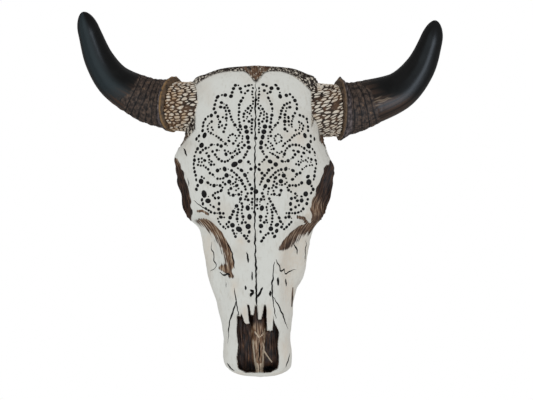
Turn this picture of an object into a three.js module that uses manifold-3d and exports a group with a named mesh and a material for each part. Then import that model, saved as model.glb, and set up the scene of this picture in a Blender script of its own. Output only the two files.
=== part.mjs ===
// Bull skull wall ornament: a cast-resin skull with painted horns, flat at the back, that hangs on a wall.
// Millimetres. +Z is up, the face looks along -Y and the wall is the plane y = 0.
// Left and right are as seen from the front: left is -X.
import * as THREE from "three";
import { ParametricGeometry } from "three/addons/geometries/ParametricGeometry.js";
import { mergeVertices } from "three/addons/utils/BufferGeometryUtils.js";
import Module from "manifold-3d";

const wasm = await Module();
wasm.setup();
const { smoothstep, lerp } = THREE.MathUtils;

// Gap between pieces that touch.
const GAP = 0.3;

// The skull's sections from the crown down to the tip of the muzzle: height, how far the outline reaches
// left and right of the middle, depth of the midline in front of the wall, and depth of the widest line.
const SKULL_SECTIONS = [
  { z: 153.5, left: 0, right: 0, front: 66, edge: 58 },
  { z: 150.5, left: 37.5, right: 40.5, front: 73, edge: 58 },
  { z: 144, left: 58.5, right: 60, front: 84, edge: 58 },
  { z: 136.5, left: 74, right: 73, front: 91, edge: 57 },
  { z: 112, left: 80, right: 78, front: 101, edge: 55 },
  { z: 86, left: 83, right: 79, front: 108, edge: 55 },
  { z: 66, left: 86, right: 81, front: 112, edge: 56 },
  { z: 56, left: 92, right: 83.5, front: 113, edge: 57 },
  { z: 44, left: 98, right: 88.5, front: 114, edge: 58 },
  { z: 30, left: 96.5, right: 94.5, front: 115.5, edge: 58 },
  { z: 12, left: 95.5, right: 93.5, front: 116.5, edge: 58 },
  { z: -4, left: 90.5, right: 90, front: 117, edge: 58 },
  { z: -18, left: 87.5, right: 84.5, front: 117, edge: 58 },
  { z: -30, left: 80.5, right: 78.5, front: 117, edge: 58 },
  { z: -43, left: 67.5, right: 68.5, front: 117, edge: 58 },
  { z: -70, left: 62.5, right: 62.5, front: 116, edge: 57 },
  { z: -100, left: 57.5, right: 56.5, front: 113, edge: 55 },
  { z: -114, left: 53, right: 48.5, front: 111, edge: 54 },
  { z: -130, left: 47, right: 45.5, front: 108.5, edge: 52 },
  { z: -144, left: 44.5, right: 44.5, front: 106.5, edge: 51 },
  { z: -158, left: 41, right: 42, front: 104, edge: 49 },
  { z: -173, left: 38.5, right: 41, front: 100, edge: 48 },
  { z: -190, left: 39.5, right: 43, front: 96, edge: 47 },
  { z: -203, left: 38, right: 43, front: 91.5, edge: 46 },
  { z: -211, left: 32, right: 39.5, front: 87, edge: 45 },
  { z: -217, left: 18, right: 27, front: 80, edge: 45 },
  { z: -219, left: -5.5, right: 5.5, front: 72, edge: 45 },
];
const FOREHEAD_BOW = 0.0022; // how fast the front falls away from the midline, per mm
const SIDE_ROUNDNESS = 5; // power of the section's rounded edge
const BACK_SCALE = 0.82; // size of the flat back against the outline
const BACK_CENTRE_Z = -20;
const SIDE_HOLLOW = 0.05; // how far the side draws in behind its widest line, as a share of the half-width
const MUZZLE_LIFT = 26; // how far the tip of the muzzle stands off the wall
const MUZZLE_LIFT_TOP_Z = -105;
const MUZZLE_TIP_Z = -215;
const MUZZLE_TWIST = 3; // the casting's nose stands this far off the midline
const MUZZLE_TWIST_TOP_Z = -120;
const MUZZLE_TWIST_END_Z = -170;

// Eye sockets: shallow panels outside the slanting edge of each brow, each with an egg-shaped hollow.
// For each side the brow's edge at height 0, how fast it moves out upwards, and the top of the panel.
const BROWS = {
  left: { edge: 80.5, slope: 0.244, socketTop: 45, eyeX: 95 },
  right: { edge: 71.5, slope: 0.27, socketTop: 38, eyeX: 90 },
};
const BROW_EDGE_WIDTH = 4;
const SOCKET_FOOT_Z = -30;
const SOCKET_EDGE = 4; // half the height over which the panel's foot and top fade out
const SOCKET_DEPTH = 9;
const EYE_HOLLOW = { depth: 69, z: 8, across: 20, deep: 16, tall: 34, lean: 0.34 };
const EYE_HOLLOW_SIDES = 28;

// Nose bridge, with a hollow along each side that runs down from the brow.
const BRIDGE_HALF = 26;
const BRIDGE_FLARE = 38;
const BRIDGE_FLARE_LENGTH = 24;
const BRIDGE_ROOT_Z = -20;
const BRIDGE_FADE = 18; // height over which the cheeks and hollows begin below the root
const CHEEK_DROP = 18;
const CHEEK_SLOPE_WIDTH = 15;
const CHEEK_FADE = [-168, -105]; // heights between which the cheek rises to meet the muzzle
const HOLLOW_DEPTH = 6;
const HOLLOW_WIDTH = 7;
const HOLLOW_FADE = [-102, -84];

// Nose opening, the bone in its middle, the pits at its foot and the nasal bones' four fingers.
const NOSE_HALF = 25;
const NOSE_FOOT_Z = -212;
const NOSE_DEPTH = 15;
const NOSE_WALL_WIDTH = 3;
const NOSE_TOP_FADE = [-148, -138];
const NOSE_FOOT_FADE = 5;
const VOMER_HALF = 8;
const VOMER_FLANK = 5;
const VOMER_HEIGHT = 9;
const PIT_Z = -204;
const PIT_X = 13;
const PIT_RADIUS = 9;
const PIT_DEPTH = 6;
const NASAL_FINGERS = [
  { rootX: -15.6, rootHalf: 5.6, tipX: -9.4, tipHalf: 2.8, tipZ: -156.5 },
  { rootX: -4.6, rootHalf: 3.8, tipX: -4.3, tipHalf: 1.6, tipZ: -146 },
  { rootX: 5.7, rootHalf: 4.6, tipX: 4.5, tipHalf: 1.8, tipZ: -151 },
  { rootX: 16.6, rootHalf: 4.9, tipX: 16.6, tipHalf: 3.4, tipZ: -165 },
];
const FINGER_ROOT_Z = -132; // where the slits between the fingers end
const FINGER_ROOT_FADE = 4;
const FINGER_STEP = 4; // height over which a finger's tip drops to the opening
const FINGER_EDGE = 1.6; // width over which its side drops

// Horn cores and horns, each a little different, as in a cast of real bone. A horn's path starts at its
// base ring and its points are across, out from the wall and up.
const HORNS = {
  left: {
    coreRoot: [-50, 42, 104],
    coreRadius: 29,
    ringRadius: 33.8,
    baseRadius: 31.2,
    path: [
      [-97, 45, 107.8],
      [-107, 40, 108.5],
      [-120, 36.3, 110.6],
      [-136, 35, 115.8],
      [-169.5, 38.5, 135],
      [-187.7, 46, 160],
      [-198.8, 58, 190.5],
      [-207, 72, 217.5],
    ],
  },
  right: {
    coreRoot: [50, 43, 101.5],
    coreRadius: 31,
    ringRadius: 37.5,
    baseRadius: 33.2,
    path: [
      [97.3, 51, 102.6],
      [107.3, 48.7, 102.9],
      [120, 45.7, 105],
      [137, 43, 110.5],
      [174, 41, 125.5],
      [196.8, 47, 151],
      [209.2, 58, 181],
      [215.3, 70, 207.5],
    ],
  },
};
const HORN_TIP_RADIUS = 10.8;
const HORN_TAPER = 0.95; // power of the taper along the horn
const HORN_TIP_LENGTH = 0.13; // share of the horn that its blunt tip takes
const RING_SHARE = 0.05; // share of the horn that the base ring takes
const GROWTH_RINGS = 5;
const GROWTH_RING_HEIGHT = 0.7;
const GROWTH_RINGS_END = 0.38;
const CORE_FLARE = 8;
const CORE_DROP = 2; // how far the core's middle lies below the horn's
const CORE_BEND = 26; // how far before the ring the core turns into the horn's line

// Pocket in the back with a bent steel strip to hang on, its lower edge cut into teeth.
const POCKET = { width: 66, height: 30, depth: 7.5, z: 82 };
const STRIP = { length: 58, foot: 10, height: 11, thickness: 1.2, rise: 3, ramp: 4, z: 87 };
const TEETH = { count: 9, pitch: 3, depth: 2 };

// How finely the surfaces are divided.
const FRONT_COLUMNS = 20;
const SIDE_COLUMNS = 4;
const BACK_COLUMNS = 1;
const HALF_COLUMNS = FRONT_COLUMNS + SIDE_COLUMNS + BACK_COLUMNS;
const ROWS_PER_SECTION = 3;
const HORN_RINGS = 30;
const CORE_RINGS = 8;
const HORN_SIDES = 16;
const END_CROWDING = 0.7; // how much closer a horn's rings stand near its ends, from 0 to 1

// A smooth bump of height 1 and the given half-width.
const bump = (distance, width) => Math.exp(-((distance / width) ** 2));

// A closed geometry as a solid: only the positions count, and triangles with no area go.
function solidOf(geometry) {
  const bare = new THREE.BufferGeometry().setAttribute("position", geometry.getAttribute("position"));
  const merged = mergeVertices(bare.setIndex(geometry.index), 1e-3);
  const index = merged.index.array;
  const kept = [];
  for (let i = 0; i < index.length; i += 3) {
    const [a, b, c] = index.slice(i, i + 3);
    if (a !== b && b !== c && c !== a) kept.push(a, b, c);
  }
  const vertProperties = merged.getAttribute("position").array;
  return new wasm.Manifold(new wasm.Mesh({ numProp: 3, vertProperties, triVerts: new Uint32Array(kept) }));
}

// The largest closed body of a solid.
function largestOf(solid) {
  return solid.decompose().reduce((most, body) => (body.volume() > most.volume() ? body : most));
}

function geometryOf(solid) {
  const { vertProperties, triVerts } = solid.getMesh();
  const geometry = new THREE.BufferGeometry();
  geometry.setAttribute("position", new THREE.BufferAttribute(new Float32Array(vertProperties), 3));
  geometry.setIndex(new THREE.BufferAttribute(new Uint32Array(triVerts), 1));
  geometry.computeVertexNormals();
  return geometry;
}

const noseTwist = (z) => MUZZLE_TWIST * (1 - smoothstep(z, MUZZLE_TWIST_END_Z, MUZZLE_TWIST_TOP_Z));
const muzzleLift = (z) => MUZZLE_LIFT * (1 - smoothstep(z, MUZZLE_TIP_Z, MUZZLE_LIFT_TOP_Z));
const browOf = (x) => (x < 0 ? BROWS.left : BROWS.right);
const browEdge = (x, z) => browOf(x).edge + browOf(x).slope * z;
const bridgeEdge = (z) => BRIDGE_HALF + BRIDGE_FLARE * Math.exp((z - BRIDGE_ROOT_Z) / BRIDGE_FLARE_LENGTH);

// How deep the eye socket lies below the forehead.
function socketDrop(x, z) {
  const edge = browEdge(x, z);
  const top = browOf(x).socketTop;
  const outside = smoothstep(Math.abs(x), edge, edge + BROW_EDGE_WIDTH);
  const aboveFoot = smoothstep(z, SOCKET_FOOT_Z - SOCKET_EDGE, SOCKET_FOOT_Z + SOCKET_EDGE);
  const belowTop = 1 - smoothstep(z, top - 2 * SOCKET_EDGE, top);
  return SOCKET_DEPTH * outside * aboveFoot * belowTop;
}

// How deep the cheek and the hollow along the nose bridge lie below the bridge.
function cheekDrop(x, z) {
  const outside = Math.abs(x) - bridgeEdge(z);
  const below = 1 - smoothstep(z, BRIDGE_ROOT_Z - BRIDGE_FADE, BRIDGE_ROOT_Z);
  const cheek = CHEEK_DROP * smoothstep(outside, 0, CHEEK_SLOPE_WIDTH) * smoothstep(z, ...CHEEK_FADE);
  const hollow = HOLLOW_DEPTH * bump(outside - HOLLOW_WIDTH, HOLLOW_WIDTH) * smoothstep(z, ...HOLLOW_FADE);
  return below * (cheek + hollow);
}

// 1 where a finger of the nasal bones covers the nose opening, 0 where the opening is free.
function fingerCover(x, z) {
  return Math.max(
    ...NASAL_FINGERS.map(({ rootX, rootHalf, tipX, tipHalf, tipZ }) => {
      const share = THREE.MathUtils.clamp((z - tipZ) / (FINGER_ROOT_Z - tipZ), 0, 1);
      const half = lerp(tipHalf, rootHalf, share);
      const away = Math.abs(x - lerp(tipX, rootX, share));
      const across = 1 - smoothstep(away, half - FINGER_EDGE / 2, half + FINGER_EDGE / 2);
      const solidAbove = smoothstep(z, FINGER_ROOT_Z - FINGER_ROOT_FADE, FINGER_ROOT_Z);
      return smoothstep(z, tipZ, tipZ + FINGER_STEP) * Math.max(across, solidAbove);
    }),
  );
}

// How deep the nose opening lies below the muzzle.
function noseDrop(x, z) {
  const across = Math.abs(x - noseTwist(z));
  const inside = 1 - smoothstep(across, NOSE_HALF - NOSE_WALL_WIDTH, NOSE_HALF);
  const aboveFoot = smoothstep(z, NOSE_FOOT_Z - NOSE_FOOT_FADE / 2, NOSE_FOOT_Z + NOSE_FOOT_FADE / 2);
  const belowBridge = 1 - smoothstep(z, ...NOSE_TOP_FADE);
  const vomer = VOMER_HEIGHT * (1 - smoothstep(across, VOMER_HALF - VOMER_FLANK, VOMER_HALF));
  const pit = PIT_DEPTH * bump(Math.hypot(across - PIT_X, z - PIT_Z), PIT_RADIUS);
  return inside * aboveFoot * belowBridge * (1 - fingerCover(x, z)) * (NOSE_DEPTH - vomer + pit);
}

const outlineCurve = new THREE.CatmullRomCurve3(
  SKULL_SECTIONS.map(({ left, right, z }) => new THREE.Vector3(left, right, z)),
  false,
  "catmullrom",
);
const depthCurve = new THREE.SplineCurve(
  SKULL_SECTIONS.map(({ front, edge }) => new THREE.Vector2(front, edge)),
);

// The skull's closed surface, grown by a margin: v runs from the crown down and u once round each section,
// from the middle of the back over the right side, the face and the left side.
function skullSurface(margin) {
  return (u, v, target) => {
    const { x: left, y: right, z: sectionZ } = outlineCurve.getPoint(v);
    const { x: front, y: edge } = depthCurve.getPoint(v);
    const middle = (right - left) / 2;
    const half = v > 0 && v < 1 ? (right + left) / 2 + margin : 0;
    const column = (0.5 - u) * 2 * HALF_COLUMNS;
    const side = Math.sign(column);
    const step = Math.abs(column);
    if (step <= FRONT_COLUMNS) {
      const across = Math.sin(((step / FRONT_COLUMNS) * Math.PI) / 2);
      const x = middle + side * half * across;
      const hollows = socketDrop(x, sectionZ) + cheekDrop(x, sectionZ) + noseDrop(x, sectionZ);
      const fall = FOREHEAD_BOW * x ** 2 + hollows;
      const rounded = Math.sqrt(Math.max(0, 1 - across ** SIDE_ROUNDNESS));
      const depth = edge + (front - fall - edge) * rounded + margin;
      return target.set(x, -depth, sectionZ);
    }
    const back = Math.min(1, (step - FRONT_COLUMNS) / SIDE_COLUMNS);
    const inset = 1 - (1 - BACK_SCALE) * back ** 2;
    const hollow = SIDE_HOLLOW * Math.sin(Math.PI * back);
    const closing = Math.max(0, (step - FRONT_COLUMNS - SIDE_COLUMNS) / BACK_COLUMNS);
    const x = middle + side * half * (inset - hollow) * (1 - closing);
    const depth = lerp(edge, muzzleLift(sectionZ), back);
    return target.set(x, -depth, BACK_CENTRE_Z + (sectionZ - BACK_CENTRE_Z) * inset);
  };
}

function skullSolid(margin) {
  const rows = ROWS_PER_SECTION * (SKULL_SECTIONS.length - 1);
  return solidOf(new ParametricGeometry(skullSurface(margin), 2 * HALF_COLUMNS, rows));
}

// The hollow of one eye: an egg-shaped body that leans outwards as the brow does.
function eyeHollow(side) {
  const { depth, z, across, deep, tall, lean } = EYE_HOLLOW;
  const egg = new THREE.SphereGeometry(1, EYE_HOLLOW_SIDES, EYE_HOLLOW_SIDES / 2);
  egg.rotateX(Math.PI / 2).scale(across, deep, tall).rotateY(side * lean);
  return solidOf(egg.translate(side * browOf(side).eyeX, -depth, z));
}

// A tube of changing radius along a curve, closed by a disc at each end, its rings closest near the ends.
function taperedTube(path, radiusAt, rings) {
  const towardsWall = new THREE.Vector3(0, 1, 0);
  const across = new THREE.Vector3();
  const upright = new THREE.Vector3();
  const surface = (u, v, target) => {
    const row = Math.round(v * (rings + 2));
    const step = THREE.MathUtils.clamp(row - 1, 0, rings) / rings;
    const share = lerp(step, (1 - Math.cos(Math.PI * step)) / 2, END_CROWDING);
    const radius = row === 0 || row === rings + 2 ? 0 : radiusAt(share);
    const angle = u * 2 * Math.PI;
    const along = path.getTangentAt(share);
    across.crossVectors(along, towardsWall).normalize();
    upright.crossVectors(across, along);
    path.getPointAt(share, target);
    target.addScaledVector(across, radius * Math.sin(angle));
    return target.addScaledVector(upright, radius * Math.cos(angle));
  };
  return solidOf(new ParametricGeometry(surface, HORN_SIDES, rings + 2));
}

const fromWall = ([across, out, up]) => new THREE.Vector3(across, -out, up);

// Radius of a horn from its base ring (0) to its tip (1).
function hornRadius(share, { baseRadius, ringRadius }) {
  const taper = lerp(baseRadius, HORN_TIP_RADIUS, share ** HORN_TAPER);
  const tip = Math.sqrt(Math.max(0, 1 - Math.max(0, 1 - (1 - share) / HORN_TIP_LENGTH) ** 2));
  const ring = (ringRadius - baseRadius) * bump(share - RING_SHARE / 2, RING_SHARE / 2);
  const wave = Math.sin((share / GROWTH_RINGS_END) * GROWTH_RINGS * Math.PI) ** 2;
  const growth = share < GROWTH_RINGS_END ? wave : 0;
  return (taper + ring + GROWTH_RING_HEIGHT * growth) * tip;
}

function hornPath({ path }) {
  return new THREE.CatmullRomCurve3(path.map(fromWall));
}

function hornSolid(horn) {
  return taperedTube(hornPath(horn), (share) => hornRadius(share, horn), HORN_RINGS);
}

// The bony core that carries a horn: it leaves the side of the skull and ends flat against the horn's base.
function hornCoreSolid(horn, skullWithGap) {
  const base = hornPath(horn);
  const direction = base.getTangentAt(0);
  const end = base.getPointAt(0).addScaledVector(direction, -GAP);
  end.z -= CORE_DROP;
  const bend = end.clone().addScaledVector(direction, -CORE_BEND);
  const path = new THREE.QuadraticBezierCurve3(fromWall(horn.coreRoot), bend, end);
  const core = taperedTube(path, (share) => horn.coreRadius + CORE_FLARE * (1 - share) ** 2, CORE_RINGS);
  return largestOf(core.subtract(skullWithGap));
}

// A thin upright cut through the whole depth of the skull along a line seen from the front.
function slit([x0, z0], [x1, z1]) {
  const length = Math.hypot(x1 - x0, z1 - z0);
  const turn = Math.atan2(z1 - z0, x1 - x0);
  const cut = new THREE.BoxGeometry(length, CUT_DEPTH, GAP).rotateY(-turn);
  return solidOf(cut.translate((x0 + x1) / 2, 0, (z0 + z1) / 2));
}

// The skull parted by thin cuts into the pieces that a person would name.
const FACE_TOP_Z = -31;
const MUZZLE_TOP_Z = -132;
const SOCKET_CUT_TOP_Z = 60;
const CHEEK_CUT_X = 37; // where the cut beside the nose bridge starts
const CUT_REACH = 150;
const CUT_DEPTH = 400;
const PIECE_SEEDS = {
  cranium: [0, 60],
  eye_socket_left: [-86, 2],
  eye_socket_right: [86, 2],
  cheek_left: [-50, -75],
  cheek_right: [50, -75],
  nose_bridge: [0, -80],
  muzzle: [0, -180],
};

function skullPieces() {
  const cuts = [
    slit([-CUT_REACH, FACE_TOP_Z], [CUT_REACH, FACE_TOP_Z]),
    slit([-CUT_REACH, MUZZLE_TOP_Z], [CUT_REACH, MUZZLE_TOP_Z]),
  ];
  for (const side of [-1, 1]) {
    const browFoot = [side * browEdge(side, FACE_TOP_Z), FACE_TOP_Z];
    const browTop = [side * browEdge(side, SOCKET_CUT_TOP_Z), SOCKET_CUT_TOP_Z];
    cuts.push(slit(browFoot, browTop));
    cuts.push(slit([side * CHEEK_CUT_X, FACE_TOP_Z], [side * BRIDGE_HALF, MUZZLE_TOP_Z]));
    cuts.push(eyeHollow(side));
  }
  const whole = cuts.reduce((solid, cut) => solid.subtract(cut), skullSolid(0));
  const bodies = whole.decompose();
  const middleOf = (body) => {
    const { min, max } = body.boundingBox();
    return [(min[0] + max[0]) / 2, (min[2] + max[2]) / 2];
  };
  const nearest = ([x, z]) => {
    const distance = (body) => Math.hypot(middleOf(body)[0] - x, middleOf(body)[1] - z);
    return bodies.reduce((best, body) => (distance(body) < distance(best) ? body : best));
  };
  return Object.fromEntries(Object.entries(PIECE_SEEDS).map(([name, seed]) => [name, nearest(seed)]));
}

// The pocket that the hanging strip sits in, open to the wall.
function pocketSolid() {
  const box = new THREE.BoxGeometry(POCKET.width, 2 * POCKET.depth, POCKET.height);
  return solidOf(box.translate(0, 0, POCKET.z));
}

// A steel strip bent up in the middle, screwed flat at its ends, with teeth that catch on a nail.
function hangerSolid() {
  const floor = POCKET.depth - GAP;
  const half = STRIP.length / 2;
  const foot = half - STRIP.foot;
  const top = foot - STRIP.ramp;
  const bottomLine = [[-half, 0], [-foot, 0], [-top, STRIP.rise], [top, STRIP.rise], [foot, 0], [half, 0]];
  const topLine = bottomLine.map(([x, rise]) => [x, rise + STRIP.thickness]).reverse();
  const corners = [...bottomLine, ...topLine].map(([x, rise]) => new THREE.Vector2(x, rise));
  const section = new THREE.Shape(corners);
  const strip = new THREE.ExtrudeGeometry(section, { depth: STRIP.height, bevelEnabled: false });
  const lowerEdge = STRIP.z - STRIP.height / 2;
  let solid = solidOf(strip.translate(0, -floor, lowerEdge));
  for (let i = 0; i < TEETH.count; i++) {
    const x = (i - (TEETH.count - 1) / 2) * TEETH.pitch;
    const notch = new THREE.CylinderGeometry(TEETH.depth, TEETH.depth, POCKET.depth, 3);
    notch.translate(x, -floor + STRIP.rise, lowerEdge);
    solid = solid.subtract(solidOf(notch));
  }
  return largestOf(solid);
}

const bone = new THREE.MeshStandardMaterial({ color: 0xd2d0c8, roughness: 0.6, metalness: 0 });
const socketBrown = new THREE.MeshStandardMaterial({ color: 0x4a3b33, roughness: 0.65, metalness: 0 });
const coreNet = new THREE.MeshStandardMaterial({ color: 0xa08f7c, roughness: 0.7, metalness: 0 });
const hornBlack = new THREE.MeshStandardMaterial({ color: 0x26221f, roughness: 0.35, metalness: 0 });
const steel = new THREE.MeshStandardMaterial({ color: 0x9a9c9e, roughness: 0.4, metalness: 1 });

const ornament = new THREE.Group();
ornament.name = "bull_skull_wall_ornament";

function addNode(name, solid, material) {
  const mesh = new THREE.Mesh(geometryOf(solid), material);
  mesh.name = name;
  ornament.add(mesh);
}

const { cranium, ...facePieces } = skullPieces();
addNode("cranium", largestOf(cranium.subtract(pocketSolid())), bone);
for (const [name, solid] of Object.entries(facePieces)) {
  addNode(name, solid, name.startsWith("eye_socket") ? socketBrown : bone);
}
const skullWithGap = skullSolid(GAP);
for (const [name, horn] of Object.entries(HORNS)) {
  addNode(`horn_core_${name}`, hornCoreSolid(horn, skullWithGap), coreNet);
  addNode(`horn_${name}`, hornSolid(horn), hornBlack);
}
addNode("hanger", hangerSolid(), steel);

export default ornament;
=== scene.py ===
# %% [markdown]
# # A bull skull to hang on a wall
# The ornament is cast in resin as a bull's skull and painted: off-white bone, brown in every hollow and
# crack, a dotted arabesque drilled into the forehead, and two dark horns on pebbled cores. The packed
# frame gives its solids in metres, with +Z up, the wall at y = 0 and the face looking along -Y. All
# sizes below are millimetres, and one function turns them to metres when a mesh is made.

# %% Load the frame
from types import SimpleNamespace

import bpy
import numpy as np
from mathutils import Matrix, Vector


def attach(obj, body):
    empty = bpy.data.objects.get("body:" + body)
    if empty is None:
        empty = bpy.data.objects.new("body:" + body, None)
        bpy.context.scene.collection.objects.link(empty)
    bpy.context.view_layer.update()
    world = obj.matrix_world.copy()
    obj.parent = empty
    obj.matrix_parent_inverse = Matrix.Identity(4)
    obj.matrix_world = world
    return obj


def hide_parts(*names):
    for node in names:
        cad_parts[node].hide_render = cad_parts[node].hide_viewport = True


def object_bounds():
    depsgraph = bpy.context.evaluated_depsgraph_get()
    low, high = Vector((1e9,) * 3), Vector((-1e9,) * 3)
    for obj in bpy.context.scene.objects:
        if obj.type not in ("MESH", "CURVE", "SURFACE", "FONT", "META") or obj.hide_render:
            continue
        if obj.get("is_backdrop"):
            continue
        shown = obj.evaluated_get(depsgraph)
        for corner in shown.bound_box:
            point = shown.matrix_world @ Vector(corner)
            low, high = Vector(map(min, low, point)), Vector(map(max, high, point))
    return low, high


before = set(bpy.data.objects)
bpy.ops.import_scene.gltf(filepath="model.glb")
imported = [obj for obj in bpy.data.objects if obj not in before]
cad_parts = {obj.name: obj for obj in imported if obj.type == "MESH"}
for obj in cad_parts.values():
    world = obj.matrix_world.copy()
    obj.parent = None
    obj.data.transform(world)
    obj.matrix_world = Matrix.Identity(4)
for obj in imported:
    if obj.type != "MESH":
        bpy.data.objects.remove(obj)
cad_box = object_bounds()
MM = 0.001
print("frame nodes:", ", ".join(sorted(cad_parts)))

# %% [markdown]
# ## Camera
# A product picture of a flat thing is taken straight on from far away with a long lens, which keeps the
# two sides alike. So the camera stands far off on the skull's middle line. One pixel of the picture
# covers 1.2 mm on a plane that cuts the skull at half its depth, and that fixes the lens.

# %% Camera
PICTURE_WIDTH = 533
PIXEL_SIZE = 1.2
PLANE_DEPTH = 60
CAMERA_DISTANCE = 3800
PICTURE_CENTRE_X = 12.6
PICTURE_CENTRE_Z = -7.2

camera_data = bpy.data.cameras.new("camera")
camera_data.sensor_width = 36
camera_data.lens = camera_data.sensor_width * CAMERA_DISTANCE / (PICTURE_WIDTH * PIXEL_SIZE)
camera_data.clip_end = 100
camera = bpy.data.objects.new("camera", camera_data)
camera.location = (PICTURE_CENTRE_X * MM, -(CAMERA_DISTANCE + PLANE_DEPTH) * MM, PICTURE_CENTRE_Z * MM)
camera.rotation_euler = (np.pi / 2, 0, 0)
bpy.context.scene.collection.objects.link(camera)
bpy.context.scene.camera = camera
print(f"lens {camera_data.lens:.1f} mm")

# %% [markdown]
# ## Studio
# The picture has almost no shadow: light comes from all around, and two large soft boxes stand low at
# the sides and draw the sheen on the horns. A white world does the first, and what the camera sees of
# it is plain white. The right box is only there for the sheen, so it adds no diffuse light. A studio is
# dark behind the camera, so the world is dimmed where it would only be mirrored.

# %% World and soft boxes
WORLD_LIGHT = 0.93
MIRRORED_LIGHT = 0.17
# Place, width in metres, power in watts and colour of each soft box.
SOFT_BOXES = {
    "left": ((-950, -1850, -700), 2.2, 7.5, "#cfe6f2"),
    "right": ((950, -1500, -950), 1.2, 14.0, "#d6e4f4"),
}


def add(tree, kind, inputs=None, output=0, **settings):
    """Adds one node and gives one of its outputs, or the node itself where output is None. Settings go to its
    properties and inputs to its sockets: a link, a value or a hex colour."""
    node = tree.nodes.new(f"ShaderNode{kind}")
    for name, value in settings.items():
        setattr(node, name, value)
    for name, value in (inputs or {}).items():
        if isinstance(value, bpy.types.NodeSocket):
            tree.links.new(value, node.inputs[name])
        else:
            node.inputs[name].default_value = linear(value) if isinstance(value, str) else value
    return node if output is None else node.outputs[output]


def linear(colour):
    """An sRGB hex colour as linear red, green, blue and alpha."""
    srgb = np.array([int(colour[k : k + 2], 16) for k in (1, 3, 5)]) / 255
    return (*np.where(srgb <= 0.04045, srgb / 12.92, ((srgb + 0.055) / 1.055) ** 2.4), 1.0)


world = bpy.data.worlds.new("studio")
world.use_nodes = True
bpy.context.scene.world = world
sky = world.node_tree
sky.nodes.clear()
ray = add(sky, "LightPath", output=None).outputs
seen = add(sky, "MapRange", {"Value": ray["Is Camera Ray"], "To Min": WORLD_LIGHT, "To Max": 1.0})
dimmed = {"Value": ray["Is Glossy Ray"], "To Min": seen, "To Max": MIRRORED_LIGHT}
strength = add(sky, "MapRange", dimmed)
backdrop = add(sky, "Background", {"Color": "#ffffff", "Strength": strength})
add(sky, "OutputWorld", {"Surface": backdrop}, None)

for side, (place, width, power, colour) in SOFT_BOXES.items():
    box_light = bpy.data.lights.new(f"soft_box_{side}", "AREA")
    box_light.size = width
    box_light.energy = power
    box_light.color = linear(colour)[:3]
    soft_box = bpy.data.objects.new(f"soft_box_{side}", box_light)
    soft_box.location = np.array(place) * MM
    soft_box.rotation_euler = (-soft_box.location).to_track_quat("-Z", "Y").to_euler()
    soft_box.visible_diffuse = side == "left"
    bpy.context.scene.collection.objects.link(soft_box)
bpy.context.scene.view_settings.view_transform = "Standard"
print(f"{len(SOFT_BOXES)} soft boxes")

# %% [markdown]
# ## Shared shapes
# A few small formulas carry the whole model: a smooth step, a bell, a curve through points, and two
# kinds of unevenness. The first sums many waves of about one length, as hand-smoothed clay has. The
# second scatters seeds and measures to the two nearest, which gives the pebbled net of the horn cores
# and the cracks of old horn.


# %% Steps, bells and curves
RIPPLE_WAVES = 28


def smoothstep(x, low, high):
    """0 below low, 1 above high, and 3t^2 - 2t^3 in between."""
    t = np.clip((x - low) / (high - low), 0, 1)
    return t * t * (3 - 2 * t)


def bump(distance, width):
    """A bell of height 1: e to the power of minus the square of distance over width."""
    return np.exp(-np.square(distance / width))


def spline(points, t, spread=0.0):
    """Curve through the rows of points: on each stretch a cubic that leaves a point along the parabola
    through it and its two neighbours. t runs from 0 to 1, with an equal share for each stretch. A spread
    of 0.5 weighs neighbours by the root of their distance, which keeps the curve from swinging out
    between points that stand close."""
    points = np.asarray(points, float)
    padded = np.vstack([2 * points[0] - points[1], points, 2 * points[-1] - points[-2]])
    place = np.clip(t, 0, 1) * (len(points) - 1)
    stretch = np.minimum(place.astype(int), len(points) - 2)
    f = (place - stretch)[:, None]
    a, b, c, d = (padded[stretch + k] for k in range(4))
    steps = ((a, b), (b, c), (c, d))
    ab, bc, cd = (np.linalg.norm(q - p, axis=1, keepdims=True) ** spread for p, q in steps)
    leave = ((b - a) / ab - (c - a) / (ab + bc) + (c - b) / bc) * bc
    arrive = ((c - b) / bc - (d - b) / (bc + cd) + (d - c) / cd) * bc
    return b + f * (leave + f * (3 * (c - b) - 2 * leave - arrive + f * (2 * (b - c) + leave + arrive)))


def length_of(line):
    """Length of a line of points."""
    return np.linalg.norm(np.diff(line, axis=0), axis=1).sum()


def evenly(line, count):
    """count points at equal steps of length along a line of many points."""
    length = np.concatenate([[0], np.cumsum(np.linalg.norm(np.diff(line, axis=0), axis=1))])
    steps = np.linspace(0, length[-1], count)
    return np.stack([np.interp(steps, length, axis) for axis in line.T], axis=1)


def near_line(x, z, path):
    """Distance from places on the face to a line of straight stretches."""
    place = np.stack(np.broadcast_arrays(x, z), axis=-1)[..., None, :]
    a, b = np.array(path[:-1], float), np.array(path[1:], float)
    step = b - a
    t = np.clip(((place - a) * step).sum(-1) / (step**2).sum(-1), 0, 1)
    return np.linalg.norm(place - a - t[..., None] * step, axis=-1).min(-1)


def ripple(points, size, seed):
    """Unevenness of about one size: the mean of many cosine waves with seeded directions and phases,
    scaled so that it seldom leaves -1 to 1."""
    rng = np.random.default_rng(seed)
    direction = rng.normal(size=(RIPPLE_WAVES, points.shape[-1]))
    direction /= np.linalg.norm(direction, axis=1, keepdims=True)
    direction *= 2 * np.pi / size * rng.uniform(0.6, 1.4, (RIPPLE_WAVES, 1))
    phase = rng.uniform(0, 2 * np.pi, RIPPLE_WAVES)
    return np.cos(points @ direction.T + phase).sum(-1) / np.sqrt(RIPPLE_WAVES)


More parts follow.
